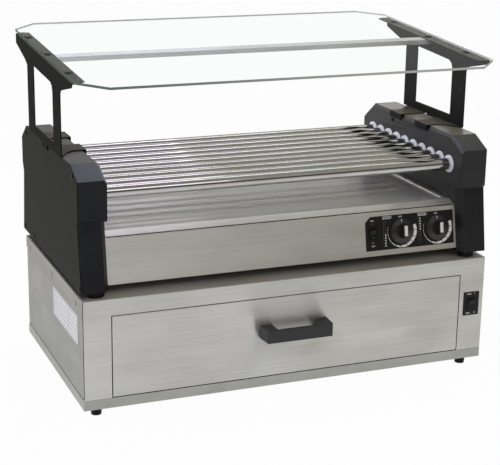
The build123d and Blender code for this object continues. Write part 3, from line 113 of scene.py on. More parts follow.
@dataclass(frozen=True)
class Finish:
    """A surface: what it is made of, how it was made, and the detail that gives the eye.

    The base class is an even material with grain-sized mottling in colour, roughness and height.
    """

    name: str
    colour: str
    second_colour: str
    roughness: float
    roughness_swing: float = 0.06
    metallic: float = 0.0
    ior: float = 1.5
    grain_mm: float = 1.0
    patch_mm: float = 60.0
    bump_mm: float = 0.02
    specular: float = 0.5

    def material(self) -> bpy.types.Material:
        """Builds the material once and hands out the same one afterwards.

        Returns:
            The finished material, named for the finish.
        """
        found = bpy.data.materials.get(self.name)
        if found is not None:
            return found
        made = bpy.data.materials.new(self.name)
        made.use_nodes = True
        tree = made.node_tree
        tree.nodes.clear()
        values = self.pattern(tree, add_node(tree, "TexCoord")["Object"])
        values |= {"Metallic": self.metallic, "IOR": self.ior, "Specular IOR Level": self.specular}
        shader = add_node(tree, "BsdfPrincipled", values)["BSDF"]
        add_node(tree, "OutputMaterial", {"Surface": self.surface(tree, shader)})
        made.diffuse_color = linear(self.colour)
        return made

    def surface(self, tree: Tree, shader: Socket) -> Socket:
        """Gives the shader that the material's output takes."""
        return shader

    def noise(self, tree: Tree, place: Socket, size_mm: Triple, detail: float = 2.0) -> Socket:
        """Adds noise whose features have a real size along each axis.

        Args:
            tree: the material's nodes.
            place: the coordinates that it reads, in metres.
            size_mm: how long a feature is along X, Y and Z.
            detail: octaves of finer noise on top.

        Returns:
            The noise's value, from 0 to 1 around 0.5.
        """
        scale = tuple(1.0 / MM / size for size in size_mm)
        mapped = add_node(tree, "Mapping", {"Vector": place, "Scale": scale})["Vector"]
        values = {"Vector": mapped, "Scale": 1.0, "Detail": detail}
        return add_node(tree, "TexNoise", values)["Fac"]

    def spread(self, tree: Tree, value: Socket, low: float, high: float) -> Socket:
        """Stretches the middle of a noise, 0.3 to 0.7, to run from low to high."""
        ends = {"Value": value, "From Min": 0.3, "From Max": 0.7, "To Min": low, "To Max": high}
        return add_node(tree, "MapRange", ends)["Result"]

    def two_tone(self, tree: Tree, amount: Socket) -> Socket:
        """Mixes the finish's two colours by an amount from 0 to 1."""
        pair = {0: amount, 6: linear(self.colour), 7: linear(self.second_colour)}
        return add_node(tree, "Mix", pair, data_type="RGBA")[2]

    def wire(self, tree: Tree, tone: Socket, wear: Socket, height: Socket) -> Inputs:
        """Turns three noises into the shader's colour, roughness and relief.

        Args:
            tree: the material's nodes.
            tone: how much of the second colour shows, from 0 to 1.
            wear: the noise that the roughness follows.
            height: the noise that the relief follows.

        Returns:
            The sockets that the shader's inputs take.
        """
        low, high = self.roughness - self.roughness_swing, self.roughness + self.roughness_swing
        relief = add_node(tree, "Bump", {"Height": height, "Distance": self.bump_mm * MM})
        return {
            "Base Color": self.two_tone(tree, tone),
            "Roughness": self.spread(tree, wear, low, high),
            "Normal": relief["Normal"],
        }

    def pattern(self, tree: Tree, place: Socket) -> Inputs:
        """Wires patches and grain into colour, roughness and height.

        Args:
            tree: the material's nodes.
            place: object coordinates in metres.

        Returns:
            The values and sockets that the shader's inputs take.
        """
        grain = self.noise(tree, place, (self.grain_mm,) * 3)
        patch = self.noise(tree, place, (self.patch_mm,) * 3, detail=3.0)
        return self.wire(tree, self.spread(tree, patch, 0.0, 1.0), grain, grain)


@dataclass(frozen=True)
class BrushedSheet(Finish):
    """Stainless sheet with a belt-brushed grain, as 304 sheet with a number 4 finish.

    The belt leaves fine scratches all one way, so a reflection smears across them and stays
    sharper along them, and longer, paler streaks run through the grain. The grain follows the
    width of the machine, and on its end walls it runs from front to back. A wall is an end wall
    where the sideways part of its normal is over end_wall.
    """

    metallic: float = 1.0
    bump_mm: float = 0.003
    streak_mm: float = 150.0
    scratch_mm: float = 0.9
    band_share: float = 0.30
    anisotropy: float = 0.95
    end_wall: float = 0.7

    def pattern(self, tree: Tree, place: Socket) -> Inputs:
        """Wires the streaks, turned to suit each wall, and the stretched reflection.

        Args:
            tree: the material's nodes.
            place: object coordinates in metres.

        Returns:
            The values and sockets that the shader's inputs take.
        """
        normal = add_node(tree, "NewGeometry")["True Normal"]
        facing = add_node(tree, "SeparateXYZ", {0: normal})["X"]
        aside = add_node(tree, "Math", {0: facing}, operation="ABSOLUTE")[0]
        turned = add_node(tree, "Math", {0: aside, 1: self.end_wall}, operation="GREATER_THAN")[0]
        along, across = 1.0 / MM / self.streak_mm, 1.0 / MM / self.scratch_mm
        # One noise serves every wall: its long side is X, and Y on an end wall.
        stretch, grain_way = (
            add_node(tree, "Mix", {0: turned, 4: usual, 5: on_end}, data_type="VECTOR")[1]
            for usual, on_end in (
                ((along, across, across), (across, along, across)),
                ((1.0, 0.0, 0.0), (0.0, 1.0, 0.0)),
            )
        )
        drawn = add_node(tree, "VectorMath", {0: place, 1: stretch}, operation="MULTIPLY")[0]
        # The scratches, and bands five scratches wide that show from a few steps away.
        scratches, bands = (
            add_node(tree, "TexNoise", {"Vector": drawn, "Scale": scale, "Detail": detail})["Fac"]
            for scale, detail in ((1.0, 2.0), (0.2, 3.0))
        )
        patch = self.noise(tree, place, (self.patch_mm * 3, self.patch_mm * 3, self.patch_mm))
        wide = self.spread(tree, bands, 0.0, self.band_share)
        fine = self.spread(tree, scratches, 0.0, 1.0 - self.band_share)
        tone = add_node(tree, "Math", {0: wide, 1: fine}, operation="ADD")[0]
        smear = add_node(tree, "VectorMath", {0: normal, 1: grain_way}, operation="CROSS_PRODUCT")
        stretched = {"Tangent": smear[0], "Anisotropic": self.anisotropy}
        return self.wire(tree, tone, patch, scratches) | stretched


@dataclass(frozen=True)
class SheenPaintedCoat(Finish):
    """Powder coat with painted sheen: a paler colour on the faces that look up, for the light they
    catch.

    Faces that lean back, such as chamfers, may get a second painted sheen in another colour.
    Each band gives the upward part of the normal over which its colour comes in.
    """

    grain_mm: float = 1.6
    patch_mm: float = 80.0
    bump_mm: float = 0.05
    # Painted sheen: warm grey on level faces, standing in for the light they catch from above.
    up_sheen: str = "6a6758"
    up_sheen_band: tuple[float, float] = (0.93, 0.97)
    lean_sheen: str = ""
    lean_sheen_band: tuple[float, float] = (0.25, 0.35)

    def two_tone(self, tree: Tree, amount: Socket) -> Socket:
        """Mixes the coat's two colours, and lays the painted sheens where the surface looks up.

        Args:
            tree: the material's nodes.
            amount: how much of the second colour shows, from 0 to 1.

        Returns:
            The colour of coat and painted sheens together.
        """
        coat = super().two_tone(tree, amount)
        normal = add_node(tree, "NewGeometry")["True Normal"]
        upright = add_node(tree, "SeparateXYZ", {0: normal})["Z"]
        # Each painted sheen comes in by how far the face looks up.
        sheens = ((self.lean_sheen, self.lean_sheen_band), (self.up_sheen, self.up_sheen_band))
        for paint, (start, end) in (film for film in sheens if film[0]):
            ends = {"Value": upright, "From Min": start, "From Max": end}
            share = add_node(tree, "MapRange", ends)["Result"]
            laid = {0: share, 6: coat, 7: linear(paint)}
            coat = add_node(tree, "Mix", laid, data_type="RGBA")[2]
        return coat


@dataclass(frozen=True)
class PolishedTube(Finish):
    """Hard chromium on ground steel tube.

    Grinding and polishing turn the tube, so faint rings run round it, and cooking leaves
    patches that are a little less bright.
    """

    ring_reach: float = 500.0
    patch_width: float = 14.0

    def pattern(self, tree: Tree, place: Socket) -> Inputs:
        """Wires rings that change only along the tube, and cooked patches.

        Args:
            tree: the material's nodes.
            place: object coordinates in metres.

        Returns:
            The values and sockets that the shader's inputs take.
        """
        ring = (self.grain_mm, self.ring_reach, self.ring_reach)
        rings = self.noise(tree, place, ring, detail=3.0)
        spot = (self.patch_mm, self.patch_width, self.patch_width)
        patch = self.noise(tree, place, spot, detail=3.0)
        return self.wire(tree, self.spread(tree, patch, 0.0, 1.0), patch, rings)


@dataclass(frozen=True)
class ClearPane(Finish):
    """Toughened soda-lime float glass with ground edges.

    The pane is clear from face to face. Its ground edges scatter light, green at one end of the
    pane, and greyer towards the other end and along the rear. Lamps reach what is under it.
    The edge turns from green to grey between the two X of the fade, and behind the rear line.
    """

    edge_colour: str = "6c7a76"
    far_edge_colour: str = "c2c3bf"
    fade: tuple[float, float] = (-0.4, 0.2)
    edge_tilt: float = 0.6
    rear_line: float = 0.08
    edge_roughness: tuple[float, float] = (0.3, 0.45)

    def pattern(self, tree: Tree, place: Socket) -> Inputs:
        """Wires clear faces, and ground edges where the glass faces sideways.

        Args:
            tree: the material's nodes.
            place: object coordinates in metres.

        Returns:
            The values and sockets that the shader's inputs take.
        """
        normal = add_node(tree, "NewGeometry")["True Normal"]
        facing = add_node(tree, "SeparateXYZ", {0: normal})
        spot = add_node(tree, "SeparateXYZ", {0: place})
        level, square = (
            add_node(tree, "Math", {0: facing[axis]}, operation="ABSOLUTE")[0]
            for axis in "ZY"
        )
        edge = add_node(tree, "Math", {0: level, 1: self.edge_tilt}, operation="LESS_THAN")[0]
        ends = {"Value": spot["X"], "From Min": self.fade[0], "From Max": self.fade[1]}
        along = add_node(tree, "MapRange", ends)["Result"]
        # The rear edge is the one that lies behind and runs straight across.
        behind = add_node(tree, "Math", {0: spot["Y"], 1: square}, operation="MULTIPLY")[0]
        rear = add_node(tree, "Math", {0: behind, 1: self.rear_line}, operation="GREATER_THAN")[0]
        share = add_node(tree, "Math", {0: along, 1: rear}, operation="MAXIMUM")[0]
        rims = {0: share, 6: linear(self.edge_colour), 7: linear(self.far_edge_colour)}
        rim = add_node(tree, "Mix", rims, data_type="RGBA")[2]
        paints = {0: edge, 6: linear(self.colour), 7: rim}
        haze = self.noise(tree, place, (self.patch_mm,) * 3, detail=3.0)
        grit = self.noise(tree, place, (self.grain_mm,) * 3)
        clear = self.spread(tree, haze, 0.0, self.roughness)
        ground = self.spread(tree, grit, *self.edge_roughness)
        rough = {0: edge, 2: clear, 3: ground}
        face = add_node(tree, "Math", {0: 1.0, 1: edge}, operation="SUBTRACT")[0]
        return {
            "Base Color": add_node(tree, "Mix", paints, data_type="RGBA")[2],
            "Transmission Weight": face,
            "Roughness": add_node(tree, "Mix", rough, data_type="FLOAT")[0],
        }

    def surface(self, tree: Tree, shader: Socket) -> Socket:
        """Lets rays from lamps pass, so that the pane throws no dark shadow.

        Args:
            tree: the material's nodes.
            shader: the Principled shader's output.

        Returns:
            The shader that the material's output takes.
        """
        shadow = add_node(tree, "LightPath")["Is Shadow Ray"]
        clear = add_node(tree, "BsdfTransparent", {"Color": linear(self.colour)})
        both = {0: shadow, 1: shader, 2: clear["BSDF"]}
        return add_node(tree, "MixShader", both)["Shader"]


@dataclass(frozen=True)
class Ink(Finish):
    """Printing ink: an even film of pigment, dried matt."""

    roughness: float = 0.5
    grain_mm: float = 0.6
    patch_mm: float = 8.0
    bump_mm: float = 0.004


@dataclass(frozen=True)
class Finishes:
    """Every finish on the machine, named for its real material and making, and for painted light.
    """

    # Belt-brushed 304 sheet, warm grey on the cabinet's front, with horizontal streaks.
    cabinet_sheet: Finish = BrushedSheet("brushed_304_sheet_cabinet", "c6c6c1", "d8d8d3", 0.36)
    # The cabinet's top sheet: less metallic than the front, and darker as painted shade under the
    # grill.
    top_sheet_shaded: Finish = BrushedSheet(
        "brushed_304_sheet_top_painted_shade", "a3a199", "b3b1a9", 0.50, metallic=0.7
    )
    # The cabinet's side and rear walls are a little rougher, and darker as painted shade for the
    # dimmer light on them.
    wrap_sheet_shaded: Finish = BrushedSheet("brushed_304_sheet_wrap_painted_shade", "8e8e88", "9e9e97", 0.38)
    # The grill's own sheet is brushed duller, with a flatter grain.
    grill_sheet: Finish = BrushedSheet(
        "brushed_304_sheet_grill", "cccbc3", "dad9d1", 0.50, bump_mm=0.002
    )
    # The tray under the rollers is the smoothest sheet, with soft mirror images. Its paler colour
    # is painted light.
    tray_sheet_lit: Finish = BrushedSheet(
        "fine_brushed_304_tray_painted_light", "e6e5df", "efeee8", 0.34, metallic=0.88, bump_mm=0.002
    )
    # The bar over the pane's middle keeps a mill polish. The top sheet's folded edge wears the same
    # paler finish as a painted highlight, and also catches light by its slope.
    bar_and_edge_highlight_sheet: Finish = BrushedSheet(
        "mill_polished_304_bar_and_painted_highlight", "c4c4c4", "d4d4d4", 0.36, bump_mm=0.002
    )
    # Liners and boxes of plain 2B sheet: a dull even grey.
    liner_sheet: Finish = Finish(
        "cold_rolled_2b_sheet", "9c9c97", "a9a9a4", 0.38, metallic=1.0, grain_mm=1.5, bump_mm=0.004
    )
    # Bright zinc plate with a faint blue cast on folded runners and chain.
    zinc: Finish = Finish(
        "bright_zinc_plate", "9aa0a6", "b0b4b8", 0.34, metallic=1.0, grain_mm=2.0, bump_mm=0.004
    )
    # Turned and polished stainless screws.
    screw: Finish = Finish(
        "turned_a2_screw", "b4b4b0", "c4c4c0", 0.22,
        metallic=1.0, grain_mm=0.5, patch_mm=6.0, bump_mm=0.003,
    )
    # Blackened screws, satin.
    black_screw: Finish = Finish(
        "blackened_screw", "0a0a0b", "131314", 0.40,
        specular=0.12, grain_mm=0.5, patch_mm=6.0, bump_mm=0.004,
    )
    # Ground and hard-chromed roller tube.
    chrome: Finish = PolishedTube(
        "hard_chromed_tube", "bdbdbd", "b3b0ab", 0.10, 0.03,
        metallic=1.0, grain_mm=1.4, patch_mm=90.0, bump_mm=0.0002,
    )
    # Heating tube of nickel alloy, browned by its own heat.
    sheath: Finish = Finish(
        "heat_browned_alloy_sheath", "45403a", "5e574d", 0.5,
        metallic=1.0, patch_mm=20.0, bump_mm=0.01,
    )
    # Fine-textured epoxy powder coat: charcoal, with a soft sheen that breaks up in the texture.
    # Its level faces get the coat's default warm grey painted sheen.
    powder_cap: Finish = SheenPaintedCoat(
        "textured_powder_coat_cap", "0a0b0c", "111214", 0.32, specular=0.42
    )
    # The left end cap's coat is a paler, painted light copy of the right cap's coat, with a brown
    # painted sheen on its level faces and a blue grey painted sheen on its chamfers.
    powder_cap_left_lit: Finish = SheenPaintedCoat(
        "textured_powder_coat_left_painted_light", "1d1e20", "242628", 0.40,
        specular=0.14, up_sheen="2f2a27", lean_sheen="4b5155",
    )
    # The same coat over the flat end plates.
    powder_side: Finish = Finish(
        "textured_powder_coat_side", "12120f", "191915", 0.55,
        specular=0.07, grain_mm=1.8, patch_mm=90.0, bump_mm=0.05,
    )
    # Satin powder coat of the guard's left bracket, darkened as painted shade against the strong
    # light from the left, with painted sheen on its level faces.
    powder_bracket_left_shaded: Finish = SheenPaintedCoat(
        "satin_powder_coat_left_painted_shade", "050504", "090907", 0.50,
        specular=0.02, grain_mm=1.2, patch_mm=60.0, bump_mm=0.03, up_sheen="4a483f",
    )
    # The right bracket's coat is a paler, painted light copy of the same coat, with a darker
    # painted sheen on its level faces.
    powder_bracket_right_lit: Finish = SheenPaintedCoat(
        "satin_powder_coat_right_painted_light", "141413", "191918", 0.50,
        specular=0.08, grain_mm=1.2, patch_mm=60.0, bump_mm=0.03, up_sheen="46443a",
    )
    # Grey hammered enamel on the motor.
    enamel: Finish = Finish(
        "hammered_motor_enamel", "54565a", "626468", 0.34, grain_mm=4.0, patch_mm=30.0, bump_mm=0.15
    )
    # Glass-filled nylon, moulded with a fine spark-eroded texture.
    nylon: Finish = Finish(
        "moulded_glass_filled_nylon", "101113", "17181a", 0.38, grain_mm=0.9, patch_mm=25.0
    )
    # Phenolic knobs: a warmer, slightly polished black.
    phenolic: Finish = Finish(
        "moulded_phenolic_knob", "1a1a17", "22221f", 0.34,
        grain_mm=0.8, patch_mm=15.0, bump_mm=0.008,
    )
    # Switch bodies and rockers of smooth moulded nylon.
    switch: Finish = Finish(
        "moulded_nylon_switch", "0d0d0b", "131311", 0.36,
        specular=0.22, grain_mm=0.7, patch_mm=12.0, bump_mm=0.008,
    )
    # Back-printed polycarbonate film with a velvet face.
    film: Finish = Finish(
        "velvet_polycarbonate_film", "0d0d0a", "11110e", 0.42,
        specular=0.3, grain_mm=0.7, patch_mm=40.0, bump_mm=0.006,
    )
    # Opaque white screen ink.
    ink: Finish = Ink("white_screen_ink", "dcddd5", "e6e7e0")
    # The same ink laid thin over black, for the marks of the other half.
    thin_ink: Finish = Ink("thin_grey_screen_ink", "43443e", "4d4e48")
    # Mid grey ink of the zone tags.
    tag_ink: Finish = Ink("grey_screen_ink", "a8aaa5", "b4b6b1")
    # Black ink that the tags' letters are printed in.
    black_ink: Finish = Ink("black_screen_ink", "171715", "1e1e1b")
    # Green pad-printed mark on the rocker.
    green_ink: Finish = Ink("green_pad_ink", "1f6f4c", "257a55", 0.45)
    # Grey ink of the label's ruled lines.
    label_ink: Finish = Ink(
        "grey_label_ink", "8a8d97", "979aa3", grain_mm=0.5, patch_mm=10.0, bump_mm=0.003
    )
    # White polyester label film.
    label: Finish = Finish(
        "white_polyester_label", "f2f5fc", "f8faff", 0.42,
        grain_mm=0.8, patch_mm=40.0, bump_mm=0.004,
    )
    # Moulded acetal bearing rings, waxy white.
    acetal: Finish = Finish(
        "moulded_white_acetal", "dde0e6", "e6e8ec", 0.32,
        grain_mm=0.8, patch_mm=12.0, bump_mm=0.008,
    )
    # Glazed steatite body of the thermostat.
    steatite: Finish = Finish(
        "glazed_steatite", "d9d6cc", "e2dfd6", 0.25, patch_mm=15.0, bump_mm=0.01
    )
    # Moulded nitrile rubber with a dull bloom. It also makes the black strip of painted shadow
    # in the tray's seam.
    rubber: Finish = Finish(
        "moulded_nitrile_rubber_and_seam_shadow", "0b0b0c", "121213", 0.55,
        specular=0.15, patch_mm=10.0, bump_mm=0.03,
    )
    # Soft moulded silicone of the bumpers under the pane, jet black and quite without shine.
    bumper: Finish = Finish(
        "moulded_silicone_bumper", "030303", "060607", 0.70, specular=0.005, patch_mm=10.0
    )
    # Toughened clear float glass of the pane.
    glass: Finish = ClearPane(
        "toughened_float_glass", "fcfefd", "f8fcfa", 0.001, ior=1.02, grain_mm=0.6, patch_mm=200.0
    )


def dress(finish: Finish, *nodes: str) -> None:
    """Gives every material slot of some CAD nodes one finish.

    Args:
        finish: the finish that they get.
        *nodes: the nodes' names.
    """
    made = finish.material()
    for node in nodes:
        piece = bpy.data.objects[node]
        if not piece.data.materials:
            piece.data.materials.append(made)
        for index in range(len(piece.data.materials)):
            piece.data.materials[index] = made
    LOG.info("dressed %s in %s", ", ".join(nodes), finish.name)


def mount(name: str, mesh: bpy.types.Mesh, finish: Finish, body: str) -> None:
    """Makes a mesh into a piece that rides on a body.

    Args:
        name: the piece's name.
        mesh: its mesh, in the machine's frame and in metres.
        finish: its finish.
        body: the CAD body that it moves with.
    """
    mesh.materials.append(finish.material())
    made = bpy.data.objects.new(name, mesh)
    bpy.context.scene.collection.objects.link(made)
    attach(made, body)
    LOG.info("made %s on %s", name, body)


# ============================== surfaces ==============================


@dataclass(frozen=True)
class Place:
    """A flat working plane on the machine: an origin and three directions, in millimetres."""

    origin: np.ndarray
    across: np.ndarray
    up: np.ndarray
    out: np.ndarray

    def at(self, x: Any, t: Any, h: Any) -> np.ndarray:
        """Takes local arrays to the machine's frame.

        Formula: origin + x times across + t times up + h times out, for each grid point.

        Args:
            x: distance along the plane.
            t: distance up the plane.
            h: height off the plane.

        Returns:
            Points with a last axis of three, in millimetres.
        """
        x, t, h = np.broadcast_arrays(*(np.asarray(v, float) for v in (x, t, h)))
        return (
            self.origin
            + x[..., None] * self.across
            + t[..., None] * self.up
            + h[..., None] * self.out
        )


ALONG_X, ALONG_Y, ALONG_Z = np.eye(3)


def grid_faces(rows: int, cols: int, closed: bool) -> np.ndarray:
    """Numbers the quads of a grid of points.

    Formula: quad (i, j) joins points (i, j), (i+1, j), (i+1, j+1) and (i, j+1), where point
    (i, j) is number i times cols plus j, and j wraps round if the grid is closed.

    Args:
        rows: points along the first parameter.
        cols: points along the second.
        closed: whether the last column joins the first.

    Returns:
        An array of quads, one per row.
    """
    i, j = np.meshgrid(
        np.arange(rows - 1), np.arange(cols if closed else cols - 1), indexing="ij"
    )
    i, j = i.ravel(), j.ravel()
    after = (j + 1) % cols
    return np.stack(
        [i * cols + j, (i + 1) * cols + j, (i + 1) * cols + after, i * cols + after], axis=1
    )


def enclosed(points: np.ndarray, faces: list[list[int]]) -> float:
    """Measures the volume inside a closed mesh.

    Formula: a sixth of the sum of the triple products of each fanned triangle's corners.

    Args:
        points: the mesh's points, one per row.
        faces: its faces as lists of point numbers.

    Returns:
        The volume, above zero when the faces point out.
    """
    total = 0.0
    for count in {len(face) for face in faces}:
        same = np.array([face for face in faces if len(face) == count])
        for k in range(1, count - 1):
            a, b, c = points[same[:, 0]], points[same[:, k]], points[same[:, k + 1]]
            total += float(np.einsum("ij,ij->", a, np.cross(b, c))) / 6.0
    return total


@dataclass
class Batch:
    """Gathers several closed surfaces into one named piece."""

    name: str
    points: list[np.ndarray] = field(default_factory=list)
    faces: list[list[int]] = field(default_factory=list)

    def add_sweep(self, sections: np.ndarray) -> None:
        """Adds a closed section carried along a path, with flat ends and its faces outwards.

        Formula: point (i, j) is corner j of the section at station i, and each end is one face.

        Args:
            sections: stations by corners by three, in millimetres.
        """
        rows, cols = sections.shape[:2]
        points = sections.reshape(-1, 3)
        faces = grid_faces(rows, cols, closed=True).tolist()
        faces += [list(range(cols)), list(range((rows - 1) * cols, rows * cols))[::-1]]
        if enclosed(points - points.mean(axis=0), faces) < 0:
            faces = [face[::-1] for face in faces]
        start = sum(len(earlier) for earlier in self.points)
        self.faces += [[k + start for k in face] for face in faces]
        self.points.append(points)

    def finish(self, body: str, finish: Finish, slot: str) -> None:
        """Makes the gathered surfaces into one piece.

        Args:
            body: the CAD body that it moves with.
            finish: its finish.
            slot: the record's material slot; not used.
        """
        mesh = bpy.data.meshes.new(self.name)
        mesh.from_pydata((np.vstack(self.points) * MM).tolist(), [], self.faces)
        mesh.update()
        mount(self.name, mesh, finish, body)


def ribbon(
    place: Place, x: np.ndarray, t: np.ndarray, half: np.ndarray, low: float, high: float
) -> np.ndarray:
    """Sweeps a flat strip of changing width along a path on a plane.

    Formula: at each station the section's four corners are the path's point plus and minus half
    the width along the path's left-hand normal, at the low and at the high level.

    Args:
        place: the plane.
        x: the path's points along the plane.
        t: the path's points up the plane.
        half: half the strip's width at each station.
        low: level of its underside.
        high: level of its face.

    Returns:
        Sections for Batch.add_sweep.
    """
    step_x, step_t = np.gradient(x), np.gradient(t)
    length = np.hypot(step_x, step_t)
    side_x, side_t = -step_t / length, step_x / length
    signs = np.array([1.0, -1.0, -1.0, 1.0])
    levels = np.array([low, low, high, high])
    return place.at(
        x[:, None] + side_x[:, None] * half[:, None] * signs,
        t[:, None] + side_t[:, None] * half[:, None] * signs,
        np.broadcast_to(levels, (len(x), 4)),
    )


def plate(place: Place, outline: np.ndarray, low: float, high: float) -> np.ndarray:
    """Raises an outline into a thin plate.

    Formula: two stations of the same outline, one at the low and one at the high level.

    Args:
        place: the plane.
        outline: corners on the plane, one per row, in order round it.
        low: level of the underside.
        high: level of the face.

    Returns:
        Sections for Batch.add_sweep.
    """
    return np.stack([place.at(outline[:, 0], outline[:, 1], h) for h in (low, high)])


def disc(place: Place, x: float, t: float, radius: float, low: float, high: float) -> np.ndarray:
    """Raises a round dot into a thin plate with twenty corners.

    Formula: corner k lies at the radius from the middle, k twentieths of a turn round.

    Args:
        place: the plane.
        x: the middle's distance along the plane.
        t: the middle's distance up the plane.
        radius: the dot's radius.
        low: level of the underside.
        high: level of the face.

    Returns:
        Sections for Batch.add_sweep.
    """
    turn = np.linspace(0, 2 * np.pi, 20, endpoint=False)
    outline = np.stack([x + radius * np.cos(turn), t + radius * np.sin(turn)], axis=1)
    return plate(place, outline, low, high)


def rectangle(left: float, right: float, low: float, high: float) -> np.ndarray:
    """Lists a rectangle's corners on a plane, in order round it."""
    return np.array([(left, low), (right, low), (right, high), (left, high)])


@dataclass(frozen=True)
class Word:
    """A generic word or number, its middle on a plane, the height of its capitals, its stretch."""

    name: str
    letters: str
    middle: tuple[float, float]
    height: float
    stretch: float = 1.2

    def mesh(self, place: Place, low: float, thickness: float) -> bpy.types.Mesh:
        """Makes the word as flat raised letters, centred on its middle.

        Args:
            place: the plane.
            low: level of its underside.
            thickness: how far it stands up.

        Returns:
            The mesh, in the machine's frame and in metres.
        """
        curve = bpy.data.curves.new(self.name, "FONT")
        curve.body = self.letters
        curve.align_x, curve.align_y = "CENTER", "CENTER"
        curve.size = 1.0
        curve.extrude = 0.5
        curve.offset = 0.02
        curve.resolution_u = 3
        drawn = bpy.data.objects.new(self.name + "_drawn", curve)
        bpy.context.scene.collection.objects.link(drawn)
        bpy.context.view_layer.update()
        mesh = bpy.data.meshes.new_from_object(drawn)
        bpy.data.objects.remove(drawn)
        bpy.data.curves.remove(curve)
        local = np.empty(len(mesh.vertices) * 3)
        mesh.vertices.foreach_get("co", local)
        local = local.reshape(-1, 3)
        flat = local[:, :2] - (local[:, :2].max(axis=0) + local[:, :2].min(axis=0)) / 2
        flat *= self.height / np.ptp(local[:, 1])
        level = low + (local[:, 2] + 0.5) * thickness
        across, up = self.middle
        placed = place.at(across + flat[:, 0] * self.stretch, up + flat[:, 1], level)
        mesh.vertices.foreach_set("co", (placed * MM).ravel())
        mesh.update()
        return mesh

    def print_on(
        self, place: Place, low: float, thickness: float, finish: Finish, slot: str
    ) -> None:
        """Prints the word on the machine's body, given its plane, level, thickness and ink."""
        mount(self.name, self.mesh(place, low, thickness), finish, "machine")


# ============================== the machine ==============================


# The grill's sloped front: its foot behind the drawer's face and over the floor, and how far it
# goes back and up for each millimetre along it.
SLOPE_SETBACK, SLOPE_FOOT = 24.5, 270.0
SLOPE_RUN, SLOPE_RISE = 0.18807, 0.98216


def sloped_plane(front: float) -> Place:
    """Gives the plane of the grill's sloped front.

    Args:
        front: the depth of the drawer's face.

    Returns:
        The plane, with X across it and its outward side to the front.
    """
    return Place(
        np.array([0.0, front + SLOPE_SETBACK, SLOPE_FOOT]),
        ALONG_X,
        np.array([0.0, SLOPE_RUN, SLOPE_RISE]),
        np.array([0.0, -SLOPE_RISE, SLOPE_RUN]),
    )


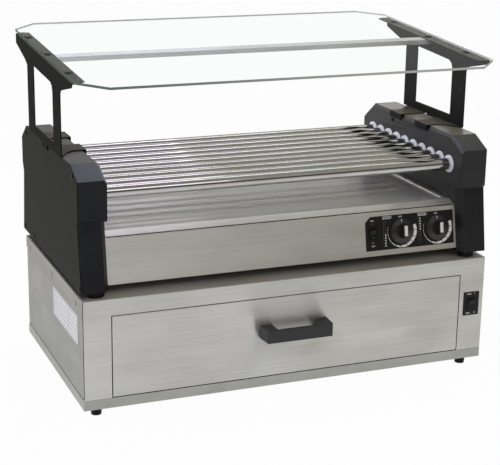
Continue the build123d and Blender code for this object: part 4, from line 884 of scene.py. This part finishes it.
@dataclass
class Controls:
    """The printed film, the two heat knobs and the power switch on the grill's sloped front."""

    front: float
    film: float = 0.6
    ink: float = 0.12
    knob_t: float = 48.2
    knob_x: tuple[float, float] = (261.5, 347.0)
    ring_outer: float = 35.0
    ring_gap: float = 1.1
    ring_stops: tuple[float, ...] = (67, 90, 114, 138, 161, 185, 207, 229, 251, 269.5, 289)
    ring_widths: tuple[float, ...] = (6.9, 7.1, 6.9, 6.1, 4.8, 3.0, 1.7, 1.0, 0.6, 0.35)
    dots: int = 10
    dot_radius: float = 1.55
    faint_dot_radius: float = 1.55 * 0.85
    dot_top: float = 71.0
    dot_pitch: float = 5.66
    dot_x: tuple[float, float] = (221.8, 305.0)
    line_offset: float = 4.6
    line_half: float = 0.35
    line_tail: float = 4.0
    tag_x: tuple[float, float] = (215.6, 300.2)
    tag_t: float = 79.7
    tag_half: float = 3.1
    tag_body: float = 18.6
    tag_length: float = 23.0
    tag_dot_x: float = 19.4
    tag_dot_radius: float = 1.3
    tag_word_x: float = 9.6
    switch_x: float = 192.0
    switch_t: float = 47.3
    facet_level: float = 2.82
    grip_face: float = 19.5
    skirt_rim: tuple[float, float] = (27.0, 1.8)
    skirt_crown: tuple[float, float] = (16.2, 5.0)

    def __post_init__(self) -> None:
        """Works out the sloped plane that everything here lies on."""
        self.place = sloped_plane(self.front)

    def ring_segments(self, centre: float) -> list[np.ndarray]:
        """Draws one heat scale: ten bars round the knob that shrink to a hairline.

        Formula: bar k runs from stop k to stop k+1, less a gap, on arcs about the knob. Its
        outer edge keeps one radius, and its width sets its inner edge.

        Args:
            centre: the knob's place along the film.

        Returns:
            The bars as sections.
        """
        bars = []
        for start, end, width in zip(self.ring_stops, self.ring_stops[1:], self.ring_widths):
            turn = np.radians(np.linspace(start + self.ring_gap, end - self.ring_gap, 9))
            radius = self.ring_outer - width / 2
            x, t = centre + radius * np.sin(turn), self.knob_t + radius * np.cos(turn)
            half = np.full(len(turn), width / 2)
            bars.append(ribbon(self.place, x, t, half, self.film, self.film + self.ink))
        return bars

    def tag_outline(self, left: float) -> np.ndarray:
        """Draws a zone tag: a bar whose right end comes to a point.

        Args:
            left: the place of its left end along the film.

        Returns:
            Its five corners in order.
        """
        outline = rectangle(
            left, left + self.tag_body, self.tag_t - self.tag_half, self.tag_t + self.tag_half
        )
        return np.insert(outline, 2, (left + self.tag_length, self.tag_t), axis=0)

    def print_film(self) -> None:
        """Prints the film: heat scales, zone tags, roller dots and their guide lines."""
        low, top = self.film, self.film + self.ink
        names = ("heat_scales", "lit_zone_dots", "faint_zone_dots", "zone_tags", "zone_tag_points")
        scales, dots, faint, tags, tips = (Batch(name) for name in names)
        line_foot = self.dot_top - (self.dots - 1) * self.dot_pitch - self.line_tail
        for zone, (centre, dot_x, left) in enumerate(zip(self.knob_x, self.dot_x, self.tag_x)):
            for bar in self.ring_segments(centre):
                scales.add_sweep(bar)
            for k in range(self.dots):
                t = self.dot_top - k * self.dot_pitch
                lit = (k >= self.dots // 2) == (zone == 0)
                batch, radius = (dots, self.dot_radius) if lit else (faint, self.faint_dot_radius)
                batch.add_sweep(disc(self.place, dot_x, t, radius, low, top))
            x = dot_x - self.line_offset
            rule = rectangle(
                x - self.line_half, x + self.line_half, line_foot, self.tag_t - self.tag_half
            )
            faint.add_sweep(plate(self.place, rule, low, top))
            tags.add_sweep(plate(self.place, self.tag_outline(left), low, top))
            x = left + self.tag_dot_x
            dot = disc(self.place, x, self.tag_t, self.tag_dot_radius, top, top + self.ink * 0.5)
            tips.add_sweep(dot)
        scales.finish("machine", FINISH.ink, "label_white")
        dots.finish("machine", FINISH.ink, "label_white")
        faint.finish("machine", FINISH.thin_ink, "overlay_black")
        tags.finish("machine", FINISH.tag_ink, "label_white")
        tips.finish("machine", FINISH.black_ink, "overlay_black")

    def letter(self) -> None:
        """Prints the words on the film and on the tags."""
        first, second = (left + self.tag_word_x for left in self.tag_x)
        top, thickness = self.film + self.ink, self.ink * 0.6
        for word in (
            Word("legend_front", "FRONT", (first, self.tag_t), 3.0),
            Word("legend_rear", "REAR", (second, self.tag_t), 3.0),
        ):
            word.print_on(self.place, top, thickness, FINISH.black_ink, "overlay_black")
        for word in (
            Word("legend_front_off", "OFF", (self.knob_x[0] - 3.7, 79.3), 3.0),
            Word("legend_rear_off", "OFF", (self.knob_x[1] - 3.9, 79.3), 3.0),
            Word("legend_power_on", "ON", (190.3, 75.6), 2.8, 1.35),
            Word("legend_power_off", "OFF", (191.6, 21.4), 2.8),
            Word("legend_power_line", "I", (190.5, 68.8), 2.4),
            Word("legend_power_ring", "O", (191.0, 28.6), 2.4),
        ):
            word.print_on(self.place, self.film, thickness, FINISH.ink, "label_white")

    def mark_rocker(self) -> None:
        """Prints the green wedge on the lower facet of the power rocker, which lies almost flat.

        Formula: a four-cornered outline, wide at its foot and narrow at its tip.
        """
        x, foot, tip, wide, narrow = self.switch_x, self.switch_t - 9.4, 3.2, 1.7, 0.4
        outline = rectangle(x - wide, x + wide, foot, foot + tip)
        outline[2:, 0] = x + narrow, x - narrow
        batch = Batch("power_rocker_mark")
        low, high = self.facet_level - 0.1, self.facet_level + 0.12
        batch.add_sweep(plate(self.place, outline, low, high))
        batch.finish("power_rocker", FINISH.green_ink, "label_white")

    def pointer(self, centre: float) -> np.ndarray:
        """Draws the white bar on a knob's grip.

        Formula: each quarter of a circle of the corners' radius is carried to its corner.

        Args:
            centre: the knob's place along the film.

        Returns:
            The bar's sections.
        """
        half, foot, tip, corner = 3.7, -9.6, 12.2, 0.5
        turn = np.linspace(0, 2 * np.pi, 24, endpoint=False)
        side, end = np.sign(np.cos(turn + 0.01)), np.sign(np.sin(turn + 0.01))
        middle = self.knob_t + (foot + tip) / 2
        x = centre + side * (half - corner) + corner * np.cos(turn)
        t = middle + end * ((tip - foot) / 2 - corner) + corner * np.sin(turn)
        outline = np.stack([x, t], axis=1)
        return plate(self.place, outline, self.grip_face - 0.05, self.grip_face + 0.12)

    def skirt_mark(self, centre: float) -> np.ndarray:
        """Draws the white line on the slope of a knob's skirt.

        Formula: a strip along a radius, whose level follows the skirt's cone.

        Args:
            centre: the knob's place along the film.

        Returns:
            The line's sections.
        """
        angle = math.radians(-5.0)
        reach = np.linspace(19.6, 25.2, 4)[:, None]
        (rim, rim_level), (crown, crown_level) = self.skirt_rim, self.skirt_crown
        slope = (crown_level - rim_level) / (rim - crown)
        side = np.array([1.0, -1.0, -1.0, 1.0]) * 0.65
        return self.place.at(
            centre + reach * math.sin(angle) + side * math.cos(angle),
            self.knob_t + reach * math.cos(angle) - side * math.sin(angle),
            rim_level + (rim - reach) * slope + np.array([-0.1, -0.1, 0.12, 0.12]),
        )

    def mark_knobs(self) -> None:
        """Fills each knob's pointer with white and marks the slope of its skirt."""
        for label, centre in zip(("front", "rear"), self.knob_x):
            batch = Batch(f"{label}_knob_pointer")
            batch.add_sweep(self.pointer(centre))
            batch.add_sweep(self.skirt_mark(centre))
            batch.finish(f"{label}_heat_knob", FINISH.ink, "label_white")

    def build(self) -> None:
        """Dresses the control nodes and adds every mark."""
        dress(FINISH.film, "control_overlay")
        dress(FINISH.switch, "power_switch_housing", "power_rocker", "heat_controls")
        dress(FINISH.phenolic, "front_heat_knob", "rear_heat_knob")
        self.print_film()
        self.letter()
        self.mark_rocker()
        self.mark_knobs()


@dataclass
class RollerGrill:
    """The grill's stainless body, its tray, its ten rollers and their bearings and drive."""

    front: float
    rollers: int = 10
    seam_reach: float = 388.0
    seam_t: tuple[float, float, float] = (92.6, 94.1, 95.5)

    def seam(self) -> None:
        """Lays a black strip in the gap under the tray's lip as painted shadow, and folds the
        panel's top edge out below it.

        Formula: one section each, carried straight across. The fold is a wedge whose face
        leans back as the tray's lip does.
        """
        place = sloped_plane(self.front)
        ends = np.array([[-self.seam_reach], [self.seam_reach]])
        fold, lip, top = self.seam_t
        # Painted shadow: a thin black strip where the gap under the tray's lip lies in shade.
        gap = Batch("tray_seam_painted_shadow")
        gap.add_sweep(
            place.at(ends, np.array([lip, top, top, lip]), np.array([0.0, 0.0, 0.2, 0.2]))
        )
        gap.finish("machine", FINISH.rubber, "black_rubber")
        # The fold wears the tray's paler finish, and with it that painted light.
        wedge = Batch("panel_top_fold")
        wedge.add_sweep(place.at(ends, np.array([fold, lip, fold]), np.array([0.0, 0.0, 1.6])))
        wedge.finish("machine", FINISH.tray_sheet_lit, "stainless_brushed")

    def build(self) -> None:
        """Dresses the grill's nodes and draws the seam of its tray, with its painted shadow strip.
        """
        self.seam()
        dress(FINISH.grill_sheet, "grill_front_panel", "grill_base_pan")
        dress(FINISH.tray_sheet_lit, "drip_tray")
        dress(FINISH.chrome, *(f"roller_{number:02d}" for number in range(1, self.rollers + 1)))
        dress(FINISH.acetal, "roller_bearings")
        dress(FINISH.sheath, "roller_heaters")
        dress(FINISH.zinc, "heater_strips", "bearing_plate_left", "bearing_plate_right")
        dress(FINISH.zinc, "drive_sprocket", "drive_chain")
        dress(FINISH.enamel, "gear_motor")
        dress(FINISH.powder_cap_left_lit, "cap_left")
        dress(FINISH.powder_cap, "cap_right")
        dress(FINISH.powder_side, "side_panel_left", "side_panel_right")
        dress(FINISH.black_screw, "side_panel_screws")
        dress(FINISH.rubber, "grill_feet")
        dress(FINISH.nylon, "cord_glands")


class Guard:
    """The glass over the rollers, its brackets, bumpers, screws and centre bar."""

    def build(self) -> None:
        """Dresses the guard's nodes."""
        dress(FINISH.glass, "guard_glass")
        dress(FINISH.powder_bracket_left_shaded, "guard_bracket_left")
        dress(FINISH.powder_bracket_right_lit, "guard_bracket_right")
        dress(FINISH.bumper, "guard_bumpers")
        dress(FINISH.black_screw, "guard_screws")
        dress(FINISH.bar_and_edge_highlight_sheet, "guard_centre_bar")


@dataclass
class Cabinet:
    """The bun cabinet with its drawer, runners, switch, heater, label and feet."""

    front: float
    label_x: float = -449.6
    label_front: float = 41.5
    label_length: float = 196.0
    label_bottom: float = 146.0
    label_height: float = 61.0
    label_margins: tuple[float, float] = (0.03, 0.97)
    label_rows: tuple[float, float] = (0.08, 0.92)
    label_column: float = 0.36
    line_half: float = 0.55
    ink: float = 0.08
    rows: int = 5
    switch_x: float = 421.5
    switch_z: float = 146.5
    switch_plate: float = 1.0
    half: float = 450.0
    top: float = 250.0
    depth: float = 480.0
    seam_foot: float = 44.0

    def rule_label(self) -> None:
        """Prints the label as an unlettered form: a border, ruled rows and one column line.

        Formula: each line is a plate between two opposite corners, given as shares of the label.
        """
        start = np.array([self.label_x, self.front + self.label_front, self.label_bottom])
        place = Place(start, ALONG_Y, ALONG_Z, -ALONG_X)
        wide, tall, line = self.label_length, self.label_height, self.line_half
        left, right = (share * wide for share in self.label_margins)
        low, high = (share * tall for share in self.label_rows)
        batch = Batch("label_rules")
        for t in np.linspace(low, high, self.rows + 1):
            batch.add_sweep(plate(place, rectangle(left, right, t - line, t + line), 0.0, self.ink))
        for x in (left, self.label_column * wide, right):
            bar = rectangle(x - line, x + line, low, high)
            batch.add_sweep(plate(place, bar, 0.0, self.ink * 0.9))
        batch.finish("machine", FINISH.label_ink, "label_white")

    def mark_switch(self) -> None:
        """Prints the generic switch words at the four corners of the switch plate."""
        start = np.array([self.switch_x, self.front - self.switch_plate, self.switch_z])
        place = Place(start, ALONG_X, ALONG_Z, -ALONG_Y)
        for word in (
            Word("legend_cabinet_on", "ON", (-6.2, 22.4), 3.6, 1.4),
            Word("legend_cabinet_line", "I", (8.0, 22.4), 3.4),
            Word("legend_cabinet_off", "OFF", (-7.4, -21.8), 3.6, 1.25),
            Word("legend_cabinet_ring", "O", (9.0, -21.2), 3.4),
        ):
            word.print_on(place, 0.0, self.ink, FINISH.ink, "label_white")

    def edges(self) -> None:
        """Folds the top sheet's left edge over, paler as a painted highlight, and fills the upright
        seam at the left corner.

        Formula: one section each, carried straight along the edge.
        """
        corner = np.array([-self.half, self.front, 0.0])
        rearward = Place(corner + self.top * ALONG_Z, ALONG_X, ALONG_Z, ALONG_Y)
        section = np.array([(0.0, -2.0), (-0.3, -2.0), (2.0, 0.3), (2.0, 0.0), (0.3, -0.3)])
        # The fold catches light by its slope, and its paler finish is painted highlight.
        fold = Batch("top_sheet_fold_painted_highlight")
        fold.add_sweep(plate(rearward, section, 1.0, self.depth))
        fold.finish("machine", FINISH.bar_and_edge_highlight_sheet, "stainless_brushed")
        upward = Place(corner, ALONG_X, ALONG_Y, ALONG_Z)
        section = rectangle(0.0, 1.5, -0.2, 0.0)
        seam = Batch("left_corner_seam")
        seam.add_sweep(plate(upward, section, self.seam_foot, self.top - 1.0))
        seam.finish("machine", FINISH.rubber, "black_rubber")

    def build(self) -> None:
        """Dresses the cabinet's nodes, and adds its label, switch words and edges."""
        dress(FINISH.cabinet_sheet, "cabinet_front_frame", "drawer_front")
        dress(FINISH.top_sheet_shaded, "cabinet_top_cover")
        dress(FINISH.wrap_sheet_shaded, "cabinet_side_left", "cabinet_side_right", "cabinet_rear_panel")
        dress(FINISH.liner_sheet, "cabinet_bottom_tray", "drawer_inner_skin")
        dress(FINISH.liner_sheet, "drawer_box", "drawer_liners")
        dress(FINISH.zinc, "drawer_fixed_runners", "drawer_moving_runners")
        dress(FINISH.screw, "cabinet_screws", "handle_screws")
        dress(FINISH.nylon, "drawer_handle")
        dress(FINISH.rubber, "cabinet_feet")
        dress(FINISH.label, "data_plate")
        dress(FINISH.sheath, "cabinet_heater")
        dress(FINISH.steatite, "cabinet_thermostat")
        dress(FINISH.switch, "cabinet_switch_plate", "cabinet_switch_housing", "cabinet_rocker")
        self.rule_label()
        self.mark_switch()
        self.edges()


# ============================== studio ==============================


class Side(Enum):
    """The half of the room that a band of its colour lies in."""

    BACK = "behind the machine"
    FRONT = "behind the camera"


@dataclass(frozen=True)
class Lamp:
    """A softbox: where it hangs, what it faces, its two sides, its power in watts and colour."""

    name: str
    place: tuple[float, float, float]
    aim: tuple[float, float, float]
    sides: tuple[float, float]
    power: float
    colour: str

    def hang(self) -> None:
        """Adds the lamp to the scene, with its first side level."""
        data = bpy.data.lights.new(self.name, "AREA")
        data.shape = "RECTANGLE"
        data.size, data.size_y = self.sides
        data.energy = self.power
        data.color = linear(self.colour)[:3]
        made = bpy.data.objects.new(self.name, data)
        made.location = self.place
        look = Vector(self.aim) - Vector(self.place)
        made.rotation_euler = look.to_track_quat("-Z", "Y").to_euler()
        bpy.context.scene.collection.objects.link(made)


@dataclass
class Studio:
    """A plain pale floor, the room's colours, soft lamps and the camera.

    The stops of each graph pair a share with a part of the viewing direction, or for the paper
    with a depth in metres.
    """

    camera_at: tuple[float, float, float] = (-1.0943, -2.7363, 1.1467)
    azimuth: float = -21.929
    elevation: float = 16.524
    roll: float = 0.896
    focal_px: float = 1381.9
    sensor: float = 36.0
    floor_size: float = 60.0
    floor_glow: float = 0.97
    floor_points: int = 13
    paper_stops: Stops = ((-3.0, 0.20), (-1.6, 0.25), (-1.2, 0.95), (-0.4, 0.95), (1.0, 0.50))
    backdrop: str = "ffffff"
    ceiling: tuple[str, str] = ("a09896", "b0aba0")
    wall: tuple[str, str] = ("d4d2dc", "b8b5ac")
    belt: str = "5e5854"
    right_stops: Stops = ((0.27, 0.0), (0.36, 1.0))
    forward_stops: Stops = ((-0.25, 1.0), (0.05, 0.0))
    lift_stops: Stops = ((0.27, -0.14), (0.36, 0.0))
    sweep_stops: Stops = ((0.40, 1.0), (0.54, 0.0))
    wall_stops: Stops = ((0.36, 0.0), (0.44, 1.0), (0.70, 1.0), (0.80, 0.0))
    belt_stops: Stops = ((0.36, 1.0), (0.44, 0.0))
    lamps: tuple[Lamp, ...] = (
        Lamp("strip_left", (-0.2, 0.36, 1.40), (-0.2, 0.0, 0.4), (0.8, 0.30), 2.8, "ece6ff"),
        Lamp("strip_middle", (0.4, 0.42, 1.45), (0.4, 0.0, 0.4), (0.4, 0.42), 1.0, "eef3ff"),
        Lamp("strip_right", (0.9, 0.42, 1.45), (0.9, 0.0, 0.4), (0.6, 0.42), 1.1, "f6f8ff"),
        Lamp("front_softbox", (0.3, -2.4, 2.3), (0.3, 0.0, 0.4), (1.3, 0.9), 6.5, "f2f3ff"),
        Lamp("side_softbox", (-2.6, -3.2, 2.2), (0.0, 0.0, 0.4), (2.0, 2.0), 36.0, "ffffff"),
    )

    def camera(self) -> None:
        """Places the camera by its measured direction and roll."""
        az, el, roll = (math.radians(v) for v in (self.azimuth, self.elevation, self.roll))
        back = Vector(
            (math.sin(az) * math.cos(el), -math.cos(az) * math.cos(el), math.sin(el))
        )
        level = Vector((math.cos(az), math.sin(az), 0.0))
        up = back.cross(level)
        right = math.cos(roll) * level + math.sin(roll) * up
        top = -math.sin(roll) * level + math.cos(roll) * up
        data = bpy.data.cameras.new("studio_camera")
        data.sensor_fit = "HORIZONTAL"
        data.sensor_width = self.sensor
        data.lens = self.sensor * self.focal_px / IMAGE_WIDTH
        data.clip_end = 200.0
        made = bpy.data.objects.new("studio_camera", data)
        turn = Matrix((right, top, back)).transposed().to_4x4()
        made.matrix_world = Matrix.Translation(Vector(self.camera_at)) @ turn
        bpy.context.scene.collection.objects.link(made)
        bpy.context.scene.camera = made

    def floor(self) -> None:
        """Lays the floor: white paper seen straight, and graded light in what metal mirrors."""
        half, count = self.floor_size / 2, self.floor_points
        grid = np.linspace(-half, half, count)
        x, y = np.meshgrid(grid, grid, indexing="ij")
        points = np.stack([x, y, np.zeros_like(x)], axis=-1).reshape(-1, 3)
        mesh = bpy.data.meshes.new("studio_floor")
        mesh.from_pydata(points.tolist(), [], grid_faces(count, count, closed=False).tolist())
        mesh.update()
        made = bpy.data.objects.new("studio_floor", mesh)
        material = bpy.data.materials.new("pale_paper_floor")
        material.use_nodes = True
        tree = material.node_tree
        tree.nodes.clear()
        path = add_node(tree, "LightPath")
        rays = {0: path["Is Camera Ray"], 1: path["Is Transmission Ray"]}
        seen = add_node(tree, "Math", rays, operation="MAXIMUM")[0]
        # What metal shows of the paper: bright close in front of the machine, dim further off.
        place = add_node(tree, "TexCoord")["Object"]
        depth = add_node(tree, "SeparateXYZ", {0: place})["Y"]
        reach = self.graph(tree, depth, self.paper_stops)
        direct, mirrored = (
            add_node(tree, "Math", {0: ray, 1: light}, operation="MULTIPLY")[0]
            for ray, light in ((seen, self.floor_glow), (path["Is Glossy Ray"], reach))
        )
        share = add_node(tree, "Math", {0: direct, 1: mirrored}, operation="MAXIMUM")[0]
        paper = add_node(tree, "BsdfDiffuse", {"Color": linear("f2f2f2")})["BSDF"]
        glow = add_node(tree, "Emission", {"Color": linear(self.backdrop), "Strength": 1.0})
        mixed = add_node(tree, "MixShader", {0: share, 1: paper, 2: glow["Emission"]})
        add_node(tree, "OutputMaterial", {"Surface": mixed["Shader"]})
        mesh.materials.append(material)
        bpy.context.scene.collection.objects.link(made)

    def graph(self, tree: Tree, value: Socket, stops: Stops) -> Socket:
        """Reads a graph of straight lines through the stops, level beyond its two ends.

        Formula: the first height, plus for each pair of stops the rise between them times the
        share of the way from one to the other that the value has gone.

        Args:
            tree: the nodes that get the graph.
            value: the socket that is looked up.
            stops: where each corner lies and how high it is, in order.

        Returns:
            The height at the value.
        """
        height: Any = stops[0][1]
        for (start, low), (end, high) in zip(stops, stops[1:]):
            ends = {"From Min": start, "From Max": end, "To Min": 0.0, "To Max": high - low}
            rise = add_node(tree, "MapRange", {"Value": value, **ends})["Result"]
            height = add_node(tree, "Math", {0: height, 1: rise}, operation="ADD")[0]
        return height

    def sky(self) -> None:
        """Makes the room: a white sweep low behind, a grey ceiling and walls by the camera.

        Formula: the ceiling's grey gives way to white low behind, to the walls' greys at middle
        height in front, and to a dark belt at eye level in front.
        """
        world = bpy.data.worlds.new("studio_room")
        bpy.context.scene.world = world
        world.use_nodes = True
        tree = world.node_tree
        tree.nodes.clear()
        way = add_node(tree, "TexCoord")["Generated"]
        axes = add_node(tree, "SeparateXYZ", {0: way})
        rightward = self.graph(tree, axes["X"], self.right_stops)
        colour, wall = (
            add_node(tree, "Mix", {0: rightward, 6: linear(a), 7: linear(b)}, data_type="RGBA")[2]
            for a, b in (self.ceiling, self.wall)
        )
        forward = self.graph(tree, axes["Y"], self.forward_stops)
        backward = add_node(tree, "Math", {0: 1.0, 1: forward}, operation="SUBTRACT")[0]
        # The white behind reaches higher on the left.
        lift = self.graph(tree, axes["X"], self.lift_stops)
        sweep = add_node(tree, "Math", {0: axes["Z"], 1: lift}, operation="ADD")[0]
        halves = {Side.BACK: (sweep, backward), Side.FRONT: (axes["Z"], forward)}
        for side, stops, paint in (
            (Side.BACK, self.sweep_stops, linear(self.backdrop)),
            (Side.FRONT, self.wall_stops, wall),
            (Side.FRONT, self.belt_stops, linear(self.belt)),
        ):
            level, half = halves[side]
            band = {0: self.graph(tree, level, stops), 1: half}
            amount = add_node(tree, "Math", band, operation="MULTIPLY")[0]
            layers = {0: amount, 6: colour, 7: paint}
            colour = add_node(tree, "Mix", layers, data_type="RGBA")[2]
        # Seen straight, the whole room is as white as the sweep.
        seen = add_node(tree, "LightPath")["Is Camera Ray"]
        layers = {0: seen, 6: colour, 7: linear(self.backdrop)}
        colour = add_node(tree, "Mix", layers, data_type="RGBA")[2]
        back = add_node(tree, "Background", {"Color": colour, "Strength": 1.0})
        add_node(tree, "OutputWorld", {"Surface": back["Background"]})

    def build(self) -> None:
        """Builds the whole studio."""
        self.camera()
        self.floor()
        self.sky()
        for lamp in self.lamps:
            lamp.hang()
        bpy.context.scene.view_settings.view_transform = "Standard"


FINISH = Finishes()


def main() -> None:
    """Loads the frame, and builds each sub-assembly in order."""
    logging.basicConfig(level=logging.INFO, format="%(message)s")
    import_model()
    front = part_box("drawer_front")[0].y / MM
    for part in (Cabinet(front), RollerGrill(front), Controls(front), Guard()):
        LOG.info("building %s", type(part).__name__)
        part.build()
    Studio().build()


if __name__ == "__main__":
    main()
